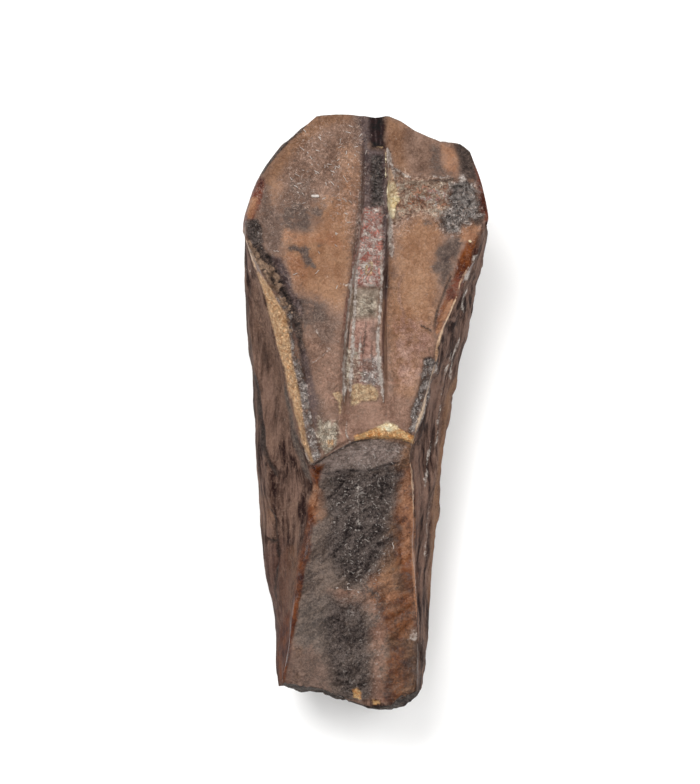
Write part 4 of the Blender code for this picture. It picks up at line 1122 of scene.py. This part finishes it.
def patterns_group():
    """The noises that every stain shares, as shares from 0 to 1."""
    names = ("Ragged", "Smooth", "Smoky", "Crust", "Crumbs", "Streaks", "Fibres", "Grain", "Veins")
    w, given, out = new_group("patterns", [("Place", "Vector"), ("Knobs", "Float")],
                              [(name, "Float") for name in names])
    place = given["Place"]
    medium = w.noise(place, 0.5, detail=6.0, roughness=0.75)[0]
    fine = w.noise(place, 0.12, detail=2.0, distortion=0.8)[0]
    broad = w.noise(w.stretched(place, (1.0, 0.7, 1.0)), 1.1, detail=6.0, roughness=0.7)[0]
    w.feed(out["Ragged"], w.blend(0.15, medium, fine))
    w.feed(out["Smooth"], w.spread(w.maths("MULTIPLY_ADD", fine, 0.2, broad), 0.45, 0.75))
    w.feed(out["Crumbs"], w.spread(w.noise(place, 0.2, detail=4.0, roughness=0.7)[0], 0.3, 0.7))
    w.feed(out["Smoky"], w.spread(w.maths("MULTIPLY_ADD", fine, 0.4, medium), 0.52, 0.88))
    w.feed(out["Grain"], fine)

    # The crust's pale wormy crests, brightest on the knobs' tops: partly pale crust, partly painted
    # highlights on raised crests and lumps.
    crest = w.spread(worms(w, place), 0.0, 0.11, 1.0, 0.0)
    lit = w.spread(medium, 0.36, 0.6, 0.2, 1.0)
    crest = w.maths("MULTIPLY", crest, lit)
    crest = w.maths("MULTIPLY_ADD", crest, 0.75, w.spread(medium, 0.4, 0.7, 0.0, 0.2))
    w.feed(out["Crust"], w.maths("MULTIPLY_ADD", given["Knobs"], 0.3, crest))
    curl = w.noise(place, 0.3, detail=2.0, roughness=0.6, distortion=1.6)[0]
    thin = w.spread(w.maths("ABSOLUTE", w.maths("SUBTRACT", curl, 0.5)), 0.0, 0.045, 1.0, 0.0)
    w.feed(out["Veins"], w.maths("MULTIPLY", thin, w.spread(medium, 0.42, 0.58)))

    wander = w.noise(w.stretched(place, (0.4, 0.16, 0.4)), 1.0, detail=1.0)["Color"]
    wavy = w.shifted(place, wander, 1.8)
    long = w.noise(w.stretched(wavy, (1.0, 0.13, 0.6)), 0.42, detail=5.0, roughness=0.7)[0]
    w.feed(out["Streaks"], w.spread(long, 0.38, 0.64))
    fibres = w.maths("MULTIPLY_ADD", slanting_fibres(w, place), 0.6, w.maths("MULTIPLY", broad, 0.4))
    w.feed(out["Fibres"], w.spread(w.maths("MULTIPLY_ADD", fine, 0.5, fibres), 0.56, 0.94))
    return w.tree


def relief_group():
    """Fine relief in millimetres: grit, a wormy crust, slanting fibres and long ripples."""
    amounts = [(name, "Float") for name in ("Grit", "Domes", "Fibres", "Ripples")]
    w, given, out = new_group("fine relief", [("Place", "Vector")] + amounts, [("Height", "Float")])
    place = given["Place"]
    fine = w.noise(place, 0.13, detail=2.0, distortion=0.8)[0]
    grit = w.maths("MULTIPLY", w.maths("MULTIPLY", fine, 0.26), given["Grit"])
    crest = w.spread(worms(w, place), 0.0, 0.12, 0.14, 0.0)
    height = w.maths("MULTIPLY_ADD", crest, given["Domes"], grit)
    fibres = w.maths("MULTIPLY", slanting_fibres(w, place), 0.14)
    height = w.maths("MULTIPLY_ADD", fibres, given["Fibres"], height)
    long = w.noise(w.stretched(place, (1.0, 0.16, 0.6)), 0.4, detail=4.0)[0]
    ripples = w.maths("MULTIPLY", w.maths("MULTIPLY", long, 0.24), given["Ripples"])
    w.feed(out["Height"], w.maths("ADD", height, ripples))
    return w.tree


def ragged_edge_group():
    """Turns a field into a mask with a ragged edge."""
    given_names = [(name, "Float") for name in ("Field", "Ragged", "Amount")]
    w, given, out = new_group("ragged edge", given_names, [("Mask", "Float")])
    shift = w.maths("MULTIPLY", w.maths("SUBTRACT", given["Ragged"], 0.5), given["Amount"])
    w.feed(out["Mask"], w.spread(w.maths("MULTIPLY_ADD", shift, 5.0, given["Field"]), -1.0, 1.0))
    return w.tree


def details_group():
    """Thin curly threads that are partly painted highlights, white crystal flecks that are partly painted
    glints, and small dark pits, all on the surface.
    """
    w, given, out = new_group("threads and crystals", [("Place", "Vector")],
                              [("Threads", "Float"), ("Crystals", "Float"), ("Pits", "Float")])
    curl = w.noise(given["Place"], 0.26, detail=2.0, distortion=1.4)[0]
    thin = w.spread(w.maths("ABSOLUTE", w.maths("SUBTRACT", curl, 0.5)), 0.004, 0.03, 1.0, 0.0)
    breaks = w.spread(w.noise(given["Place"], 0.22, detail=1.0)[0], 0.5, 0.62)
    w.feed(out["Threads"], w.maths("MULTIPLY", thin, breaks))
    loose = w.shifted(given["Place"], w.noise(given["Place"], 0.5, detail=2.0)["Color"], 0.8)
    w.feed(out["Crystals"], w.dots(loose, 0.17, 0.055, 0.45))
    w.feed(out["Pits"], w.dots(loose, 0.36, 0.07, 0.5))
    return w.tree


class Layers:
    """Colour and roughness that build up as stains are laid on."""

    def __init__(self, w, place, groups):
        self.w, self.groups = w, groups
        self.patterns = w.group(groups["patterns"], {"Place": place, "Knobs": w.attribute("knobs")})
        self.colour, self.roughness = None, None

    def mottled(self, colours, pattern):
        """A dark and a light colour, mixed by one of the shared patterns."""
        dark, light = colours
        return self.w.mix(self.patterns[pattern.title()], paint(dark), paint(light))

    def mask(self, name, amount):
        """Where a region or a stain is, with its edge as ragged as the amount."""
        given = {"Field": self.w.attribute(name), "Amount": amount, "Ragged": self.patterns["Ragged"]}
        return self.w.group(self.groups["edge"], given)["Mask"]

    def lay(self, mask, colour, roughness):
        self.colour = self.w.mix(mask, self.colour, colour)
        self.roughness = self.w.blend(mask, self.roughness, roughness)


def lay_ground(layers):
    """The walls, the worn facet, the broken end, the root's front and the enamel."""
    w = layers.w
    layers.colour = layers.mottled(WALL, "streaks")
    # painted sheen: the walls' grain is lifted towards a pale colour
    sheen = w.spread(layers.patterns["Grain"], 0.52, 0.72, 0.0, 0.3)
    layers.colour = w.mix(sheen, layers.colour, paint(WALL_PAINTED_SHEEN))
    layers.roughness = w.spread(layers.patterns["Streaks"], 0.0, 1.0, 0.95, 0.75)
    layers.lay(layers.mask("wear", 0.4), layers.mottled(WEAR, "smooth"), 0.32)
    layers.lay(layers.mask("broken", 0.4), layers.mottled(BREAK, "smoky"), 0.6)
    layers.lay(layers.mask("panel", 0.25), layers.mottled(DENTINE, "fibres"), 0.32)
    layers.lay(layers.mask("crown", 0.1), layers.mottled(ENAMEL, "smooth"), 0.32)


def lay_details(layers, place):
    """Veins on the enamel, then curly threads that are partly painted highlights, small pits, and white
    crystal flecks that are partly painted glints.
    """
    w = layers.w
    enamel = w.spread(w.attribute("crown"), -0.5, 0.5)
    clear = w.maths("MULTIPLY", enamel, w.spread(w.attribute("jet_and_shadow"), -1.0, 0.0, 1.0, 0.0))
    share = w.maths("MULTIPLY", clear, w.spread(w.attribute("threads"), 0.0, 1.0, 0.25, 0.85))
    layers.lay(w.maths("MULTIPLY", layers.patterns["Veins"], share), paint(VEIN), 0.35)
    details = w.group(layers.groups["details"], {"Place": place})
    # curly threads, partly painted highlights
    threads = w.maths("MULTIPLY", details["Threads"], w.attribute("threads"))
    layers.lay(w.maths("MULTIPLY", threads, 0.75), paint(THREAD_AND_HIGHLIGHT), 0.5)
    layers.lay(w.maths("MULTIPLY", details["Pits"], 0.14), paint(PIT), 0.5)
    # white crystal flecks, partly painted glints
    crystals = w.maths("MULTIPLY", details["Crystals"], w.attribute("crystals"))
    layers.lay(w.maths("MULTIPLY", crystals, 0.65), paint(CRYSTAL_AND_GLINT), 0.3)


def fine_relief(w, place, groups, walls):
    """The normal that the fine relief gives."""
    relief = w.group(groups["relief"], {
        "Place": place, "Grit": w.attribute("grit"), "Domes": w.attribute("domes"), "Ripples": walls,
        "Fibres": w.spread(w.attribute("panel"), 0.0, 3.0, 0.15, 1.0),
    })
    bump = w.node("ShaderNodeBump", {"Strength": 1.0, "Distance": MM, "Height": relief["Height"]})
    return bump.outputs["Normal"]


def grainy(w, colour, grain):
    """A colour with fine grain, which is strongest where threads lie."""
    faint, strong = w.spread(grain, 0.3, 0.7, 0.9, 1.1), w.spread(grain, 0.34, 0.66, 0.78, 1.22)
    return w.scaled(colour, w.blend(w.attribute("threads"), faint, strong))


def tooth_material(groups):
    """Mineral-stained enamel over dentine, with every stain laid on in turn."""
    material = bpy.data.materials.new("fossil enamel and dentine")
    material.use_nodes = True
    w = Wiring(material.node_tree)
    shader = w.tree.nodes["Principled BSDF"]
    place = w.place()
    layers = Layers(w, place, groups)
    lay_ground(layers)
    for name, stain in STAINS.items():
        mask = layers.mask(name, stain.ragged)
        layers.lay(mask, layers.mottled((stain.dark, stain.light), stain.pattern), stain.roughness)
    layers.lay(layers.mask("stripe", 0.5), layers.mottled(STRIPE_TAN, "crumbs"), 0.5)
    lay_details(layers, place)

    front = w.maths("MAXIMUM", w.attribute("crown"), w.attribute("panel"))
    walls = w.spread(front, -3.0, 0.0, 1.0, 0.0)
    least_rough = w.maths("MULTIPLY", walls, WALL_ROUGHNESS)
    w.feed(shader.inputs["Base Color"], grainy(w, layers.colour, layers.patterns["Grain"]))
    w.feed(shader.inputs["Roughness"], w.maths("MAXIMUM", layers.roughness, least_rough))
    w.feed(shader.inputs["Normal"], fine_relief(w, place, groups, walls))
    shader.inputs["Specular IOR Level"].default_value = SPECULAR
    return material


# ---- Lint

LINT_SEED = 11
LINT_RADIUS = 0.018 * MM
LINT = ((176, 160, 150), (222, 212, 204))
# A fibre bends one way for its first steps and then hooks back.
FIBRE_STEPS, FIRST_HOOKED = 6, 4
# The height, in metres, from which the skin's top is looked for.
LOOKOUT = 0.1
# (across, down, heading in degrees, length in plan units, bend)
PLACED_LINT = [
    (306, 133, 110, 4, 0.2), (321, 141, 100, 5, 0.3), (304, 151, 120, 6, 0.2), (351, 134, 140, 6, 0.3),
    (339, 145, 30, 7, 1.2), (365, 155, 50, 5, 0.2), (340, 168, 100, 3, 0.0), (335, 170, 60, 4, 0.6),
    (300, 177, 130, 6, 0.3), (319, 174, 110, 6, 1.0), (298, 188, 135, 5, 0.0), (347, 202, 125, 7, 0.2),
    (351, 223, 140, 5, 0.8), (315, 274, 20, 6, 0.4), (279, 252, 130, 6, 1.2), (336, 289, 50, 4, 0.1),
    (293, 275, 0, 5, 0.4), (353, 128, 135, 5, 0.2), (346, 181, 90, 6, 0.7), (334, 186, 100, 6, 0.6),
    (393, 549, 40, 8, 1.8), (326, 186, 60, 4, 0.8), (312, 160, 100, 4, 0.3), (358, 147, 160, 4, 0.7),
]
# Scattered fibres: (middle, spread, count)
LINT_PATCHES = [
    ((332, 158), (30, 26), 20), ((345, 195), (10, 30), 8), ((300, 190), (22, 26), 7),
    ((430, 205), (30, 14), 8), ((372, 240), (9, 36), 5), ((352, 585), (22, 12), 6),
    ((330, 250), (30, 30), 4),
]
# A thicker grain: (across, down, heading, length, bend, times as thick as a fibre)
LINT_GRAIN = (311.4, 196.2, -8, 8.0, -0.3, 4.6)


def lint_material(groups):
    material = bpy.data.materials.new("pale lint")
    material.use_nodes = True
    w = Wiring(material.node_tree)
    shader = w.tree.nodes["Principled BSDF"]
    look = w.group(groups["patterns"], {"Place": w.place(), "Knobs": 0.5})
    w.feed(shader.inputs["Base Color"], w.mix(look["Smooth"], paint(LINT[0]), paint(LINT[1])))
    w.feed(shader.inputs["Roughness"], w.spread(look["Grain"], 0.3, 0.7, 0.5, 0.8))
    return material


def surface_height(skin, x, y):
    """Height of the skin's top above the resting plane at a place, or None beside it."""
    hit, spot, _, _ = skin.ray_cast(Vector((x, y, LOOKOUT)), Vector((0, 0, -1)))
    return spot.z if hit else None


def fibre_points(skin, across, down, heading, length, bend, thickness=1.0):
    """Points of one fibre that follows the surface, in metres."""
    angle = math.radians(heading)
    points = []
    for step in range(FIBRE_STEPS + 1):
        x, y = from_plan(across, down)
        height = surface_height(skin, x, y)
        if height is None:
            return []
        points.append((x, y, height + LINT_RADIUS * thickness * 0.8))
        angle += (bend + 0.6) / FIBRE_STEPS * (1 if step < FIRST_HOOKED else -2)
        across += math.cos(angle) * length / FIBRE_STEPS
        down -= math.sin(angle) * length / FIBRE_STEPS
    return points


def all_lint():
    """Every fibre's place, heading, length and bend: the placed ones, then the scattered ones."""
    random = np.random.default_rng(LINT_SEED)
    lint = PLACED_LINT + [LINT_GRAIN]
    for (across, down), (wide, tall), count in LINT_PATCHES:
        for _ in range(count):
            offset = random.normal(size=2) * 0.5
            lint.append((across + offset[0] * wide, down + offset[1] * tall, random.uniform(0, 180),
                         random.uniform(1.5, 5.0), random.normal() * 2.6))
    return lint


def lint_fibres(skin):
    """All the fibres as one mesh of thin bent tubes."""
    shape = bpy.data.curves.new("dust_fibres", "CURVE")
    shape.dimensions = "3D"
    shape.bevel_depth = LINT_RADIUS
    shape.bevel_resolution = 1
    shape.use_fill_caps = True
    for fibre in all_lint():
        points = fibre_points(skin, *fibre)
        if not points:
            continue
        strand = shape.splines.new("POLY")
        strand.points.add(len(points) - 1)
        for point, place in zip(strand.points, points):
            point.co = (*place, 1.0)
            point.radius = fibre[5] if len(fibre) > 5 else 1.0
        strand.points[0].radius *= 0.5
        strand.points[-1].radius *= 0.4
    lint = bpy.data.objects.new("dust_fibres", shape)
    bpy.context.scene.collection.objects.link(lint)
    make_active(lint)
    bpy.ops.object.convert(target="MESH")
    return lint


# ---- The stage

FLOOR_SIZE = 4.0
FLOOR_WHITE = (0.93, 0.928, 0.92, 1.0)
# The view shows this much of the plan, in plan units.
FRAME_WIDE, FRAME_TALL = 700, 784
VIEW_MIDDLE = (FRAME_WIDE / 2, FRAME_TALL / 2)
VIEW_DISTANCE = 1.0
SENSOR = 36.0
# At this share of the tooth's height, the view is exactly as wide and tall as the frame.
TRUE_HEIGHT = 0.75
# (name, place in metres, size in metres, power in watts)
LAMPS = [
    ("key", (-0.16, 0.22, 0.56), 0.26, 3.0),
    ("side", (0.34, 0.2, 0.48), 0.4, 1.3),
    ("front", (0.0, -0.42, 0.42), 0.4, 1.0),
]
SKY_STRENGTH = 0.62


def floor():
    bpy.ops.mesh.primitive_plane_add(size=FLOOR_SIZE)
    plane = bpy.context.object
    plane.name = "floor"
    material = bpy.data.materials.new("pale floor")
    material.use_nodes = True
    shader = material.node_tree.nodes["Principled BSDF"]
    shader.inputs["Base Color"].default_value = FLOOR_WHITE
    shader.inputs["Roughness"].default_value = 0.9
    plane.data.materials.append(material)


def camera():
    """Looks straight down on the enamel face, with the crown at the top."""
    lens = bpy.data.cameras.new("camera")
    lens.sensor_width = SENSOR
    half_view = FRAME_TALL / 2 * UNIT
    lens.lens = SENSOR / 2 * (VIEW_DISTANCE - HIGH.z * TRUE_HEIGHT) / half_view
    eye = bpy.data.objects.new("camera", lens)
    x, y = from_plan(*VIEW_MIDDLE)
    eye.location = (x, y, VIEW_DISTANCE)
    bpy.context.scene.collection.objects.link(eye)
    bpy.context.scene.camera = eye


def soft_light(name, place, size, power):
    """A square lamp that shines on the tooth."""
    lamp = bpy.data.lights.new(name, "AREA")
    lamp.size = size
    lamp.energy = power
    source = bpy.data.objects.new(name, lamp)
    source.location = place
    source.rotation_euler = (-Vector(place)).to_track_quat("-Z", "Y").to_euler()
    bpy.context.scene.collection.objects.link(source)


def lights():
    for lamp in LAMPS:
        soft_light(*lamp)
    world = bpy.data.worlds.new("studio")
    world.use_nodes = True
    sky = world.node_tree.nodes["Background"]
    sky.inputs["Color"].default_value = (1, 1, 1, 1)
    sky.inputs["Strength"].default_value = SKY_STRENGTH
    bpy.context.scene.world = world
    bpy.context.scene.view_settings.view_transform = "Standard"


# ---- The pieces


def build_tooth(groups):
    skin = tooth_skin()
    plan = Plan(skin.data)
    store_fields(skin.data, plan)
    add_relief(skin, plan)
    skin.data.materials.clear()
    skin.data.materials.append(tooth_material(groups))
    make_active(skin)
    bpy.ops.object.shade_smooth()
    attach(skin, "root")
    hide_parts("tooth")
    return skin


def build_lint(groups, skin):
    lint = lint_fibres(skin)
    lint.data.materials.append(lint_material(groups))
    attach(lint, "root")


def main():
    deselect_all()
    groups = {
        "patterns": patterns_group(), "relief": relief_group(), "edge": ragged_edge_group(),
        "details": details_group(),
    }
    skin = build_tooth(groups)
    build_lint(groups, skin)
    floor()
    camera()
    lights()


main()
